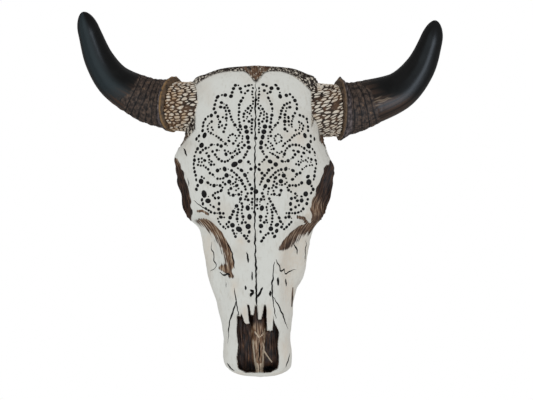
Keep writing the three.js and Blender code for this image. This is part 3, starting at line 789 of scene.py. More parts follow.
# %% Strokes of the ornament
# Dot width, spacing, then the stroke's points as (out, up).
STROKES = [
    (5.6, 20.0, [(63.8, 14.5), (60, 0)]),
    (5.2, 10.5, [(59.8, 69.6), (63.8, 57.6)]),
    (5.0, 8.0, [(24.5, 34.8), (17.5, 38.7)]),
    (4.6, 9.0, [(55.5, -8), (51, -8.2)]),
    (4.6, 9.0, [(26.3, -36.8), (18.6, -41.7)]),
    (4.4, 11.0, [(8.6, -17), (6.4, -23), (7.5, -38)]),
    (4.4, 7.5, [(11.4, 79.5), (6.6, 55)]),
    (4.3, 7.0, [(30.5, 14.5), (36.4, 29.5)]),
    (3.9, 4.7, [(29, 116.4), (27.6, 122), (23.2, 130.4), (19.4, 127.2), (17.2, 121)]),
    (3.0, 4.0, [(13.4, 119.6), (9.8, 123)]),
    (2.9, 3.8, [(12.5, 128), (8.5, 129.8), (4.8, 130)]),
    (2.3, 3.9, [(3.6, 126), (4, 121), (3.2, 112), (3.4, 106.6)]),
    (2.3, 3.7, [(4.2, 101.5), (6.2, 97), (5.2, 92.5)]),
    (2.1, 3.5, [(9.8, 97), (9.4, 91.5)]),
    (2.6, 3.9, [(3.9, 88), (4.0, 80), (4.3, 72.5)]),
    (3.1, 4.6, [(6.2, 104.6), (8.6, 101), (13, 96.8), (14.3, 91), (13.4, 87.2)]),
    (3.1, 4.0, [(10.4, 89), (7.2, 84.4), (6, 79), (7.6, 73.6), (7.4, 68), (9.2, 62.3), (12.6, 57.6)]),
    (3.0, 4.6, [(15.4, 114), (17.2, 110.3), (19.4, 104.8), (19.8, 96), (19.3, 89), (18.3, 81), (15.8, 76.6)]),
    (3.4, 5.0, [(35.8, 117.3), (40.5, 118.2), (45.6, 115), (48.2, 107.5), (48.8, 102), (47.6, 96.6)]),
    (3.4, 4.6, [(52.5, 93.3), (57, 92), (60.6, 88.7), (62.4, 83), (62.6, 75.6)]),
    (3.4, 4.7, [(66.3, 68.9), (70.6, 64.6), (66.8, 62.4)]),
    (3.3, 4.9, [(68.6, 53.8), (71.2, 47.8), (72.2, 39.6), (72.4, 32.8), (71.6, 27), (69.8, 17)]),
    (3.1, 4.0, [(44.4, 92), (42.9, 86), (43, 79)]),
    (3.0, 4.0, [(40.6, 108.8), (35, 105.8), (31.6, 99.5), (29.8, 93), (27, 85.6), (22.8, 79.6), (17.6, 73)]),
    (3.0, 4.2, [(41, 103), (36.4, 101.4), (35, 96), (34.8, 89), (34.7, 81), (37.2, 74)]),
    (2.7, 4.0, [(39, 90.5), (39.6, 81.4)]),
    (2.9, 3.8, [(52.2, 85.7), (56.4, 82), (56.2, 76.2), (52.8, 72)]),
    (2.9, 4.1, [(49.4, 70.3), (45, 67.8), (41.2, 64.6), (37.6, 61.6), (33, 57)]),
    (2.7, 3.9, [(52.6, 82), (51.8, 77), (48, 75.4)]),
    (2.3, 3.3, [(31.6, 66.8), (29.6, 69.8), (26, 70.2), (22.4, 66.6), (23.2, 63)]),
    (2.5, 3.5, [(31.2, 62.8), (27, 60.6), (22.4, 58.2), (15.2, 54.3)]),
    (2.6, 3.7, [(19.2, 68.6), (15.6, 68.4), (11.6, 69.2)]),
    (2.1, 3.2, [(15.2, 65.4), (15.8, 62), (18.6, 60)]),
    (3.1, 4.3, [(65, 49.8), (58.8, 53.8), (52, 57.8), (46.6, 58.4), (41, 57), (36.6, 52), (33, 44)]),
    (2.7, 3.7, [(57.4, 48.4), (51, 50), (46.6, 51.6), (42.4, 51.6)]),
    (3.0, 4.0, [(47.2, 46.4), (44.8, 43), (39.4, 39.4), (35, 38.3), (30.6, 40.4), (26.6, 44), (18, 49.2)]),
    (2.5, 3.6, [(32, 50), (28.6, 48.2), (25, 49.4), (22.4, 53), (19, 53)]),
    (2.6, 3.8, [(66.8, 41), (62, 41.6), (58.6, 38.6), (55.2, 40.6), (51.2, 38.6)]),
    (2.5, 3.6, [(67.8, 34.4), (63.6, 34), (59.4, 32.2), (55.8, 29.4)]),
    (2.2, 3.3, [(66.4, 37.6), (62.4, 37.8)]),
    (3.0, 4.2, [(54.8, 44.4), (53.8, 35.4), (48.8, 34.8)]),
    (3.0, 4.3, [(9.2, 50.4), (11.2, 46.2), (13.4, 42.8), (9.4, 39.2), (5.4, 34.8)]),
    (3.2, 4.4, [(20.2, 30.6), (15.6, 27.2), (12, 22.4), (8.6, 17), (6, 11)]),
    (3.0, 4.4, [(4.6, 29), (8.4, 24.6)]),
    (3.2, 4.4, [(44.6, 27.6), (41, 29.6)]),
    (3.3, 4.5, [(31.6, 29), (27.4, 27.4), (21.6, 22.8), (16.4, 16.4), (13.2, 10.6), (10.4, 5)]),
    (3.1, 4.2, [(53.6, 24.6), (49.6, 23), (45.8, 18), (40, 18), (35.4, 20), (33, 25)]),
    (2.6, 3.7, [(29, 23), (26.4, 20.4), (23.4, 18.6), (19.4, 15.4)]),
    (2.6, 3.7, [(38.2, 13.4), (34, 11), (27.8, 11), (23.2, 14)]),
    (3.0, 4.3, [(55.6, 13), (49.6, 9.9), (44, 9.9), (38.4, 9), (40, 4), (45.8, 1.4), (49.6, -1), (47.6, -5)]),
    (2.9, 3.9, [(21.8, 9.6), (26, 7.6), (30.4, 5.4), (31.4, 1.6), (27.4, -2.6), (24, 0), (19.4, -0.8)]),
    (2.5, 3.6, [(22.2, 3.8), (18, 7.4), (15.4, 3.4), (15.6, -0.6)]),
    (3.2, 4.4, [(63.2, 20.2), (60.2, 18.6)]),
    (3.4, 5.0, [(67.6, 9.6), (69.2, 5.6), (66.4, 1.4)]),
    (3.0, 6.0, [(55, -3), (62.4, -4.6), (62, -11.4)]),
    (3.2, 6.4, [(43, -5.4), (42, -12.2), (42.8, -18)]),
    (2.8, 3.8, [(52.4, -13.4), (49, -15.8)]),
    (3.0, 4.2, [(57.6, -17.6), (53, -21), (47, -22.7), (42, -22.8), (37, -23.2)]),
    (3.4, 4.8, [(40.6, -27), (36.6, -27.8)]),
    (3.0, 4.0, [(43.4, -29.2), (42, -34.4), (38.6, -38), (35.4, -41), (31.4, -39.2), (33.2, -35.4),
                (30.4, -33.4)]),
    (3.2, 4.2, [(26, -43.6), (24, -49.2), (22.2, -52), (21, -46.6)]),
    (3.1, 4.1, [(16, -46.6), (12, -49.4), (10, -53), (7.6, -55.8)]),
    (2.9, 4.4, [(6.8, -45), (8.2, -50.4)]),
    (3.1, 4.3, [(17.4, -6), (19.4, -10.8), (22.4, -15.4), (24.8, -21), (28.6, -28.2)]),
    (2.7, 4.0, [(18.6, -15), (20.2, -20.8), (21, -27), (19.4, -36.4)]),
    (2.7, 3.9, [(15, -11.6), (14.4, -16.2), (15.2, -21), (13.6, -28.2), (14.6, -34)]),
    (2.9, 4.0, [(8.8, 0.4), (11, -6), (6.6, -7.4), (6, -13)]),
    (2.8, 3.9, [(9.8, -28.4), (7, -31.2), (11, -34)]),
    (3.0, 4.0, [(4.5, 0.5), (10.5, -2), (15.5, -6)]),
    (3.0, 4.2, [(7, 14), (4.4, 8.4), (3.6, 6)]),
    (2.6, 3.8, [(3.4, -6), (3.2, -17)]),
]
BIG_DOTS = [(1.4, 2.8, 5.8), (0.6, 66, 4.2), (0.4, 111.5, 3.8), (0.8, 31.5, 3.6), (-0.5, -21.5, 3.4)]
DOT_SCALE, SPACING_SCALE = 1.2, 0.93
DOT_CLEARANCE = 0.3
SMALLEST_DOT = 1.5
DOT_SIZE_SPREAD = 0.12
DOT_WANDER = 0.3
LONG_DOT_SHARE, LONG_DOT = 0.25, 1.3


def dots_of_ornament():
    """All dots as rows of x, z, width, how much longer than wide, and the angle of the stroke there."""
    rng = np.random.default_rng(11)
    wanted = [(suture_x(z) + out, z, width, 1.0, 0.0) for out, z, width in BIG_DOTS]
    for width, spacing, points in STROKES:
        line = spline(points, np.linspace(0, 1, 200))
        places = evenly(line, max(2, round(length_of(line) / (SPACING_SCALE * spacing)) + 1))
        out_step, up_step = np.gradient(places, axis=0).T
        for side in (-1, 1):
            angles = np.arctan2(up_step, side * out_step)
            for (out, z), angle in zip(places + rng.normal(0, DOT_WANDER, places.shape), angles):
                spread = 1 + np.clip(rng.normal(0, DOT_SIZE_SPREAD), -0.25, 0.25)
                longer = LONG_DOT if rng.random() < LONG_DOT_SHARE else 1.0
                wanted.append((suture_x(z) + side * out, z, DOT_SCALE * width * spread, longer, angle))
    kept = np.empty((0, 5))
    for x, z, width, longer, angle in wanted:
        gap = np.hypot(kept[:, 0] - x, kept[:, 1] - z) - kept[:, 2] * kept[:, 3] / 2
        room = 2 * (gap.min(initial=99) - DOT_CLEARANCE)
        if room >= SMALLEST_DOT:
            longer = min(longer, room / SMALLEST_DOT)
            kept = np.vstack([kept, (x, z, min(width, room / longer), longer, angle)])
    return kept


dots = dots_of_ornament()
print(f"{len(dots)} dots, {dots[:, 2].min():.1f} to {dots[:, 2].max():.1f} mm wide")

# %% [markdown]
# A drill leaves a hole with straight walls and a rounded floor. All holes are cut at once by one mesh
# of pegs, each a stack of rings along the surface's own normal, and the cut faces take the dark groove
# paint.

# %% Drill the dots
PEG_SIDES = 10
# Share of the dot's width and height above the surface, from the top ring down.
PEG_RINGS = np.array([[1.1, 1.3], [1.02, -0.9], [0.65, -1.5]])


def front_normal(x, z):
    """Outward normal of the front at a place, from the slope of its depth."""
    step = 1.0
    slope_x = (front_depth(x + step, z) - front_depth(x - step, z)) / (2 * step)
    slope_z = (front_depth(x, z + step) - front_depth(x, z - step)) / (2 * step)
    normal = np.stack([-slope_x, -np.ones_like(slope_x), -slope_z], axis=-1)
    return normal / np.linalg.norm(normal, axis=-1, keepdims=True)


def pegs(places):
    """One closed peg for each place: rings at the heights and widths of PEG_RINGS, drawn out along the
    stroke, with a point at the middle of each end."""
    x, z, width, longer, turn = places.T
    foot = np.stack([x, -front_depth(x, z), z], axis=-1)
    normal = front_normal(x, z)
    along = np.stack([np.cos(turn), np.zeros_like(turn), np.sin(turn)], axis=-1)
    across = np.cross(normal, along)
    across /= np.linalg.norm(across, axis=1, keepdims=True)
    along = np.cross(across, normal) * longer[:, None]
    angle = np.arange(PEG_SIDES) * 2 * np.pi / PEG_SIDES
    around = np.cos(angle)[:, None] * along[:, None] + np.sin(angle)[:, None] * across[:, None]
    share, height = np.vstack([[0, PEG_RINGS[0, 1]], PEG_RINGS, [0, PEG_RINGS[-1, 1] - 0.15]]).T
    points = foot[:, None, None] + height[None, :, None, None] * normal[:, None, None]
    points = points + (share[None, :, None, None] * width[:, None, None, None] / 2) * around[:, None]
    triangles = grid_triangles(len(share), PEG_SIDES)
    count = len(share) * PEG_SIDES
    triangles = (triangles[None] + count * np.arange(len(places))[:, None, None]).reshape(-1, 3)
    return mesh_piece("pegs", points.reshape(-1, 3), triangles, SKULL_PAINTS, material_index=GROOVE)


def outward(piece):
    """Turns a closed mesh's faces outwards if they point in, judged by its signed volume."""
    mesh = piece.data
    corners = np.zeros(len(mesh.polygons) * 3, np.int32)
    mesh.polygons.foreach_get("vertices", corners)
    places = np.zeros(len(mesh.vertices) * 3)
    mesh.vertices.foreach_get("co", places)
    a, b, c = places.reshape(-1, 3)[corners.reshape(-1, 3)].transpose(1, 0, 2)
    if np.einsum("ij,ij->", a, np.cross(b, c)) < 0:
        mesh.flip_normals()
        print(f"{piece.name}: faces turned outwards")
    return piece


outward(skull)
carve(skull, outward(pegs(dots)))
print(f"skull: {len(skull.data.polygons)} faces with the dots drilled")

# %% [markdown]
# ## Cracks and grooves
# Old bone splits along its sutures. The mould was cut with such cracks, and dark paint fills them. Each
# is a V-shaped wedge carried along a short path on the face. It narrows to nothing at both ends and
# wanders a little, as a split in bone does. Paths that run close to each other are cut one after the
# other.

# %% Cut the cracks
# Width, depth, then the path's points as (x, z).
CRACKS = [
    (1.25, 1.9, [(0, 135), (-0.8, 70), (-1.4, -31), (-1.1, -46)]),
    (1.4, 1.7, [(-52.7, -56), (-53.4, -65.4), (-49.8, -71), (-50.5, -80), (-47.6, -86.4), (-56.4, -93.5)]),
    (1.4, 1.7, [(22.9, -77), (28, -85.7), (28.8, -91.5), (33.8, -88.7), (34.6, -95), (41.1, -91.5),
                (50, -90)]),
    (1.7, 1.5, [(-11.4, -68), (-9.4, -75), (-8.5, -82)]),
    (2.0, 1.4, [(-5, -91), (-4.5, -98), (-5, -104)]),
    (1.8, 2.1, [(-22, -123), (-27.6, -140.6), (-31.6, -152), (-33.3, -179)]),
    (1.5, 2.0, [(20.5, -121), (28.6, -136), (33.5, -148), (39.2, -163)]),
    (1.4, 1.3, [(-75, -7), (-61.5, -16.6), (-51, -21)]),
    (1.8, 1.2, [(-36, -104), (-35.5, -112)]),
    (1.8, 1.2, [(-12.7, -108), (-12.2, -114)]),
    (2.0, 1.3, [(35.3, -100), (35.6, -111)]),
    (1.8, 1.2, [(-87, 55), (-84, 50), (-82, 44)]),
    (1.8, 1.2, [(-81, 20), (-79, 8)]),
    (1.8, 1.2, [(83, 53), (86, 44)]),
    (1.6, 1.2, [(43, -56), (47, -63), (49.8, -73)]),
    (1.8, 1.2, [(60, -54), (58, -82)]),
    (3.6, 2.0, [(-35, -202), (-30, -208), (-25, -211.5)]),
    (3.6, 2.0, [(41.5, -189), (39, -199), (35.5, -208)]),
]
GROOVES = [
    (1.3, 2.0, [(-1.1, -40), (0, -88), (0.6, -120), (1, -143)]),
    (1.4, 1.5, [(-26, -110), (-23, -128), (-20.5, -148)]),
    (1.2, 1.2, [(22, -79), (20, -97), (19.5, -120), (21, -131), (23.5, -149)]),
    (1.6, 1.2, [(-41, -48), (-30, -66), (-25, -90)]),
    (1.8, 1.3, [(26, -98), (26.2, -109)]),
    (2.0, 1.3, [(16.8, -114), (17.4, -122)]),
    (2.6, 1.7, [(-44, -92), (-38, -96.5), (-33, -95), (-28.5, -98.5)]),
    (2.6, 1.4, [(-7.5, -113.5), (-4, -116), (-5.8, -122.5)]),
    (2.6, 1.4, [(8, -109.5), (6, -115.5), (1.8, -123)]),
    (1.5, 1.2, [(4.2, -172), (4.2, -196), (4.5, -217)]),
]
CRACK_STEP = 1.8
CRACK_WANDER = 0.45
CRACK_LIFT = 1.0
CRACK_POINT = 40


def wedge_rows(width, depth, points, seed):
    """Rows of three points along a path on the face: two corners above the surface and one below it, all
    scaled by the root of a half sine along the path, which draws both ends to a point. A path longer than
    CRACK_POINT keeps its full width between its ends."""
    line = spline(points, np.linspace(0, 1, 400), spread=0.5)
    path = evenly(line, max(7, round(length_of(line) / CRACK_STEP)))
    along = np.gradient(path, axis=0)
    sideways = np.stack([-along[:, 1], along[:, 0]], axis=1)
    sideways /= np.linalg.norm(sideways, axis=1, keepdims=True)
    x, z = (path + CRACK_WANDER * sideways * ripple(path, 8, seed)[:, None]).T
    foot = np.stack([x, -front_depth(x, z), z], axis=1)
    normal = front_normal(x, z)
    across = np.cross(normal, np.gradient(foot, axis=0))
    across /= np.linalg.norm(across, axis=1, keepdims=True)
    swell = np.sin(np.pi * np.linspace(0, 1, len(path))) * max(1, length_of(line) / CRACK_POINT)
    swell = np.sqrt(swell.clip(0, 1))
    half = (width * swell * (1 + 0.18 * ripple(path, 9, seed + 50)))[:, None]
    top = foot + CRACK_LIFT * normal
    bottom = foot - normal * (depth * swell)[:, None]
    return np.stack([top + across * half, top - across * half, bottom], axis=1)


def wedges(cracks, seed):
    """All wedges of a list as one cutter."""
    points, triangles, count = [], [], 0
    for index, (width, depth, path) in enumerate(cracks):
        rows = wedge_rows(width, depth, path, seed + index)
        points.append(rows.reshape(-1, 3))
        triangles.append(grid_triangles(len(rows), 3) + count)
        count += 3 * len(rows)
    cutter = (np.vstack(points), np.vstack(triangles))
    return mesh_piece("wedges", *cutter, SKULL_PAINTS, material_index=GROOVE)


carve(skull, outward(wedges(CRACKS, 100)))
carve(skull, outward(wedges(GROOVES, 200)))
print(f"skull: {len(skull.data.polygons)} faces with the cracks cut")

# %% [markdown]
# ## Eye hollows and hanging pocket
# Two larger cuts are left. Each eye is an egg-shaped hollow that leans with the brow, and the back has
# a flat pocket for the hanging strip. The eye's cut keeps the bone paint, because the brown wash is
# stored on the vertices afterwards.

# %% Cut the eyes and the pocket
# Middles of the left eye and the right one, then the radii across, out from the wall and up.
EYE_X = {-1: -95, 1: 90}
EYE_RADII = (20, 16, 34)
EYE_LEAN = 0.34
EYE_ROWS, EYE_COLUMNS = 40, 72
POCKET_SIZE = (66, 7.5, 30)
POCKET_Z = 82


def egg(side):
    """An egg-shaped cutter: a sphere's polar grid scaled to three radii, leaning outwards with the
    brow."""
    polar = np.linspace(0, np.pi, EYE_ROWS)[:, None]
    round_angle = np.arange(EYE_COLUMNS)[None] * 2 * np.pi / EYE_COLUMNS
    ball = [np.sin(polar) * np.cos(round_angle), np.sin(polar) * np.sin(round_angle), np.cos(polar)]
    x, y, z = (radius * axis for radius, axis in zip(EYE_RADII, np.broadcast_arrays(*ball)))
    lean = side * EYE_LEAN
    across = EYE_X[side] + x * np.cos(lean) + z * np.sin(lean)
    points = np.stack([across, y - EYE_DEPTH, EYE_Z + z * np.cos(lean) - x * np.sin(lean)], axis=-1)
    uneven = pushed_out(points, 0.5 * ripple(points * [1, 1, 0.3], 9, 21 + side))
    uneven[[0, -1]] = points[[0, -1]]
    triangles = grid_triangles(EYE_ROWS, EYE_COLUMNS)
    return mesh_piece("egg", uneven.reshape(-1, 3), triangles, SKULL_PAINTS, material_index=BONE)


def pocket():
    """A box cutter: a square's corners carried along the depth, closed by the middles of both ends."""
    width, depth, height = POCKET_SIZE
    corner = np.array([[-1, -1], [1, -1], [1, 1], [-1, 1]]) * [width / 2, height / 2]
    rows = []
    for share, y in ((0, depth), (1, depth), (1, -depth), (0, -depth)):
        rows.append(np.stack([corner[:, 0] * share, np.full(4, y), POCKET_Z + corner[:, 1] * share], axis=1))
    return mesh_piece("pocket", np.vstack(rows), grid_triangles(4, 4), SKULL_PAINTS, material_index=BACK)


for side in (-1, 1):
    carve(skull, outward(egg(side)))
carve(skull, outward(pocket()))
print(f"skull: {len(skull.data.polygons)} faces with eyes and pocket cut")

# %% [markdown]
# ## Where the paint went
# The shares of wash, net and stain are worked out for every vertex of the carved mesh from its place
# alone. Faces that look to the wall take the bare resin. Edges sharper than 40 degrees stay sharp,
# which keeps the rims of the dots crisp.

# %% Paint the skull
# Middle, half-width and half-height of the beige stains.
STAINS = [(39, -74, 12, 20), (54, -66, 10, 26), (-57, -62, 8, 18), (37, -112, 7, 26), (-26, -113, 4, 12)]
STAINS += [(43, -122, 3, 14), (-18, -56, 5, 4), (-20, -215, 10, 3), (28, -216, 12, 3)]
STAINS += [(16, -140, 4, 12), (-13, -138, 3, 10), (35, -188, 5, 16), (50, 66, 10, 12), (62, -26, 6, 6)]
STAIN_STRENGTH = 0.48
# The back is where a normal looks this much to the wall, and edges over this angle stay sharp.
BACK_FACING, SHARP_ANGLE = 0.75, 40


def stain_share(x, z):
    """Beige wash: a few broad bells on the forehead, the cheeks, the bridge and the lip."""
    bells = sum(bump(np.hypot((x - sx) / rx, (z - sz) / rz), 1.0) for sx, sz, rx, rz in STAINS)
    return STAIN_STRENGTH * np.clip(bells, 0, 1)


def eye_share(x, z, depth):
    """1 inside the eye hollows and on their walls: where the egg's own coordinates give less than its
    radius."""
    share = 0
    for side, middle in EYE_X.items():
        lean = side * EYE_LEAN
        across = (x - middle) * np.cos(lean) - (z - EYE_Z) * np.sin(lean)
        up = (x - middle) * np.sin(lean) + (z - EYE_Z) * np.cos(lean)
        own = np.stack([across, depth - EYE_DEPTH, up], axis=-1) / EYE_RADII
        share = share + 1 - smoothstep(np.linalg.norm(own, axis=-1), 1.05, 1.1)
    return share


def paint_skull(piece):
    """Stores the shares of each paint on the vertices and gives the back its own material."""
    mesh = piece.data
    place = np.zeros(len(mesh.vertices) * 3)
    mesh.vertices.foreach_get("co", place)
    place = place.reshape(-1, 3) / MM
    x, depth, z = place[:, 0], -place[:, 1], place[:, 2]
    net = net_share(x, z, depth)
    temple = net * smoothstep(np.abs(x), 70, 78) * (1 - smoothstep(z, 66, 82))
    notch = net * (1 - smoothstep(np.abs(x) - 1.1 * (z - 134), -3, 2))
    middle, half = vomer(z)
    on_vomer = (1 - smoothstep(np.abs(x - middle), half - 1, half + 1)) * (1 - smoothstep(z, -160, -150))
    wiped = sum(share * bump(np.hypot(x - wx, z - wz), size) for wx, wz, size, share in WIPED)
    brown = np.maximum(brown_share(x, z, depth), eye_share(x, z, depth))
    set_value(mesh, "brown", np.maximum(brown, np.maximum(0.55 * notch, 0.5 * temple)))
    hollow = hollow_share(x, z, depth) * np.where(x < 0, HOLLOW_WIPED[-1], HOLLOW_WIPED[1])
    wiped = np.maximum(hollow, wiped + 0.8 * net + 0.8 * on_vomer)
    set_value(mesh, "wiped", np.clip(wiped, 0, 1))
    set_value(mesh, "lie", lie_across(x, z) * MM)
    set_value(mesh, "ridge", ridge_share(x, z, depth))
    # Painted shade: near-black in the pits at the nose's foot where they are deepest, weaker in the left one.
    black = smoothstep(pit_share(x, z), 0.4, 0.7) * np.where(x < 4, 0.45, 1.0)
    set_value(mesh, "pit", black * smoothstep(nose_drop(x, z), 6, 9))
    set_value(mesh, "net", net)
    edge = cell_edge(place / PEBBLE_SIZE, PEBBLE_JITTER)
    set_value(mesh, "net_line", 1 - smoothstep(edge, 0.02, 0.46))
    set_value(mesh, "stain", stain_share(x, z))
    normal = np.zeros(len(mesh.polygons) * 3)
    mesh.polygons.foreach_get("normal", normal)
    paint = np.zeros(len(mesh.polygons), np.int32)
    mesh.polygons.foreach_get("material_index", paint)
    paint[(normal[1::3] > BACK_FACING) & (paint == BONE)] = BACK
    mesh.polygons.foreach_set("material_index", paint)
    mesh.shade_smooth()
    mesh.set_sharp_from_angle(angle=np.radians(SHARP_ANGLE))


paint_skull(skull)
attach(skull, "root")
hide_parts("cranium", "nose_bridge", "muzzle")
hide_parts("eye_socket_left", "eye_socket_right", "cheek_left", "cheek_right")
print(f"skull finished: {len(skull.data.vertices)} vertices, {len(skull.data.polygons)} faces")

# %% [markdown]
# ## Horn cores and horns
# On the living animal a bony core grows from the skull, and the horn is a sheath over it. The ornament
# shows the core as a short pebbled neck and the sheath as a black horn whose base is brown, ringed and
# crackled. Both are tubes: a profile carried along a path. The relief is part of the radius, so the
# rings and cracks are real shape.

# %% Paths of the horns
# Points are (across, out from the wall, up).
HORNS = {
    "left": {
        "core_root": (-50, 42, 104), "core_radius": 29, "ring_radius": 33.8, "base_radius": 31.2,
        "path": [(-97, 45, 107.8), (-107, 40, 108.5), (-120, 36.3, 110.6), (-136, 35, 115.8),
                 (-169.5, 38.5, 135), (-187.7, 46, 160), (-198.8, 58, 190.5), (-207, 72, 217.5)],
    },
    "right": {
        "core_root": (50, 43, 101.5), "core_radius": 31, "ring_radius": 37.5, "base_radius": 33.2,
        "path": [(97.3, 51, 102.6), (107.3, 48.7, 102.9), (120, 45.7, 105), (137, 43, 110.5),
                 (174, 41, 125.5), (196.8, 47, 151), (209.2, 58, 181), (215.3, 70, 207.5)],
    },
}
FROM_WALL = np.array([[1, 0, 0], [0, -1, 0], [0, 0, 1]])
HORN_TIP_RADIUS, HORN_TAPER, HORN_TIP_LENGTH, RING_SHARE = 10.8, 0.95, 0.13, 0.05
CORE_FLARE, CORE_BEND, CORE_GAP, CORE_DROP = 8, 26, 0.3, 2


def horn_line(side):
    """The horn's axis as many points at equal steps."""
    path = np.array(HORNS[side]["path"]) @ FROM_WALL
    return evenly(spline(path, np.linspace(0, 1, 3000), spread=0.5), 1500)


def tube(line, share, radius):
    """Points round a line: for each share of its length a ring whose radius may differ round it. The
    ring's two axes are square to the line, one of them also square to the wall's normal."""
    at = np.linspace(0, 1, len(line))
    middle = np.stack([np.interp(share, at, axis) for axis in line.T], axis=1)
    tangents = np.gradient(line, axis=0)
    tangent = np.stack([np.interp(share, at, axis) for axis in tangents.T], axis=1)
    tangent /= np.linalg.norm(tangent, axis=1, keepdims=True)
    across = np.cross(tangent, [0.0, 1.0, 0.0])
    across /= np.linalg.norm(across, axis=1, keepdims=True)
    upright = np.cross(across, tangent)
    angle = np.arange(radius.shape[1]) * 2 * np.pi / radius.shape[1]
    spoke = np.sin(angle)[:, None] * across[:, None] + np.cos(angle)[:, None] * upright[:, None]
    return middle[:, None] + radius[..., None] * spoke


print({side: f"{length_of(horn_line(side)):.0f} mm long" for side in HORNS})

# %% [markdown]
# ### Cores
# The net on a core is made of cells laid side by side round it: blobs on the left, longer slanting ones
# on the right. So the cells are worked out on the unrolled surface, round by along, and close on
# themselves at the back.

# %% Horn cores
CORE_ROWS, CORE_COLUMNS = 110, 416
CORE_CELLS_ROUND = {"left": 48, "right": 58}
CORE_CELL_LENGTH = {"left": 5.0, "right": 6.4}
CORE_SLANT = {"left": 0.3, "right": 1.0}
CORE_JITTER, CORE_PEBBLE_HEIGHT, CORE_PEBBLE_SINK = 0.82, 1.6, 1.0
CORE_OCHRE = {"left": 1.0, "right": 0.35}


def net_paint():
    """Cream pebbles in a brown net, acrylic on resin: the wash stays in the lines and is wiped off the tops,
    and ochre was brushed on towards the horn."""
    material, tree, place = new_material("cream_and_brown_net_acrylic")
    noises = {"clouds": (9, 3), "patches": (5, 3), "blots": (1.5, 3), "grit": (0.9, 3)}
    ranges = {"stained": ("clouds", 0.5, 0.8), "thin": ("clouds", 0.4, 0.65)}
    ranges["brushed"] = ("patches", 0.3, 0.6)
    share = patterns(tree, place, ("ochre", "net_line"), noises, ranges)
    ochre = add(tree, "Math", {0: share["ochre"], 1: share["brushed"]}, operation="MULTIPLY")
    thin_ochre = add(tree, "Math", {0: ochre, 1: 0.7}, operation="MULTIPLY")
    tops = layered(tree, "#d3cbbd", (share["stained"], "#ad9270"), (thin_ochre, "#9c7440"))
    brown = layered(tree, "#281a11", (share["thin"], "#5e4129"), (ochre, "#5c3d1e"))
    line = brushed_edge(tree, share["net_line"], share["blots"], 0.4)
    colour = layered(tree, tops, (line, brown))
    relief = add(tree, "Bump", {"Height": share["grit"], "Strength": 0.3, "Distance": 0.4 * MM})
    return coated(material, {"Base Color": colour, "Roughness": 0.66, "Normal": relief, "IOR": ACRYLIC_IOR})


def core_piece(side, paint):
    """A core: a tube along a parabola that leaves the skull and meets the horn's base square on. Its
    radius flares with the square of the distance from the horn, and the cells are raised on it."""
    horn = HORNS[side]
    base = horn_line(side)
    direction = (base[1] - base[0]) / np.linalg.norm(base[1] - base[0])
    end = base[0] - CORE_GAP * direction - [0, 0, CORE_DROP]
    root = np.array(horn["core_root"]) @ FROM_WALL
    bend = end - CORE_BEND * direction
    t = np.linspace(0, 1, 400)[:, None]
    line = evenly((1 - t) ** 2 * root + 2 * t * (1 - t) * bend + t**2 * end, 400)
    share = np.concatenate([[0], np.linspace(0, 1, CORE_ROWS), [1]])
    closed = np.concatenate([[0], np.ones(CORE_ROWS), [0]])[:, None]
    radius = (horn["core_radius"] + CORE_FLARE * (1 - share) ** 2)[:, None] * np.ones(CORE_COLUMNS)
    around = np.arange(CORE_COLUMNS)[None] * CORE_CELLS_ROUND[side] / CORE_COLUMNS
    along = share[:, None] * length_of(line) / CORE_CELL_LENGTH[side]
    cells = np.stack(np.broadcast_arrays(around + CORE_SLANT[side] * along, along), axis=-1)
    edge = cell_edge(cells, CORE_JITTER, wrap=CORE_CELLS_ROUND[side])
    raised = CORE_PEBBLE_HEIGHT * smoothstep(edge, 0.02, 0.5) - CORE_PEBBLE_SINK
    points = tube(line, share, (radius + raised) * closed)
    ochre = np.broadcast_to(CORE_OCHRE[side] * smoothstep(share, 0.45, 0.92)[:, None], edge.shape)
    values = {"net_line": 1 - smoothstep(edge, 0.03, 0.56), "ochre": ochre}
    values = {key: value.reshape(-1) for key, value in values.items()}
    triangles = grid_triangles(*radius.shape)
    return outward(mesh_piece(f"core_{side}", points.reshape(-1, 3), triangles, [paint], values))


core_paint = net_paint()
for side in HORNS:
    core = core_piece(side, core_paint)
    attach(core, "root")
    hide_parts(f"horn_core_{side}")
    print(f"{core.name}: {len(core.data.polygons)} triangles")

# %% [markdown]
# ### Sheaths
# A horn sheath is keratin, the stuff of hooves. It grows from its base in thin rings, and there it
# stays rough, browns and cracks across them. Towards the tip, its oldest part, it is rubbed smooth. Here
# shape and paint copy that: matt brown with near-black ring lines at the base, brown streaks along the
# horn, then satin black.

# %% Horn sheaths
HORN_ROWS, HORN_COLUMNS = 300, 240
HORN_SEED = {"left": 4, "right": 5}
RING_STEP = 2.7
CRACKS_ROUND = 16
# Jitter of the cells between rings and cracks, round the horn and along it.
BRICK_JITTER = np.array([0.9, 0.12])
GROWTH_STEP = 8.7
# Shares of the length over which the ringed brown base fades out.
BASE_END = {"left": (0.29, 0.4), "right": (0.18, 0.29)}
# Where the brown streaks end, on the upper side and on the lower side.
STREAK_END = {"left": (0.4, 0.5), "right": (0.34, 0.54)}
# How strongly ochre was rubbed on the lip.
OCHRE = {"left": 0.95, "right": 0.4}
# Length of the bevel inside the lip, how strong the painted sheen is (a painted highlight of bluish grey
# laid on the black of the lower outer side), and how strong the worn lines are.
BEVEL = {"left": 3.8, "right": 3.0}
PAINTED_SHEEN = {"left": 1.0, "right": 0.1}
WORN = {"left": 0.0, "right": 0.6}
# How far the lip stands off the core, how wide the closing ring inside it is, where the grey collar ends
# past the bevel, and how much the rows crowd towards the tip.
LIP_GAP, CLOSING_SHARE, COLLAR_END, ROW_CROWDING = 0.8, 0.88, (6.5, 9.5), 1.6
# Worn lines: place across, from -1 on the upper side to 1 on the lower one, then the shares of the length
# where they begin and end.
WORN_LINES = [(-0.06, 0.25, 0.31), (0.06, 0.22, 0.36), (0.15, 0.27, 0.38), (0.24, 0.23, 0.29)]


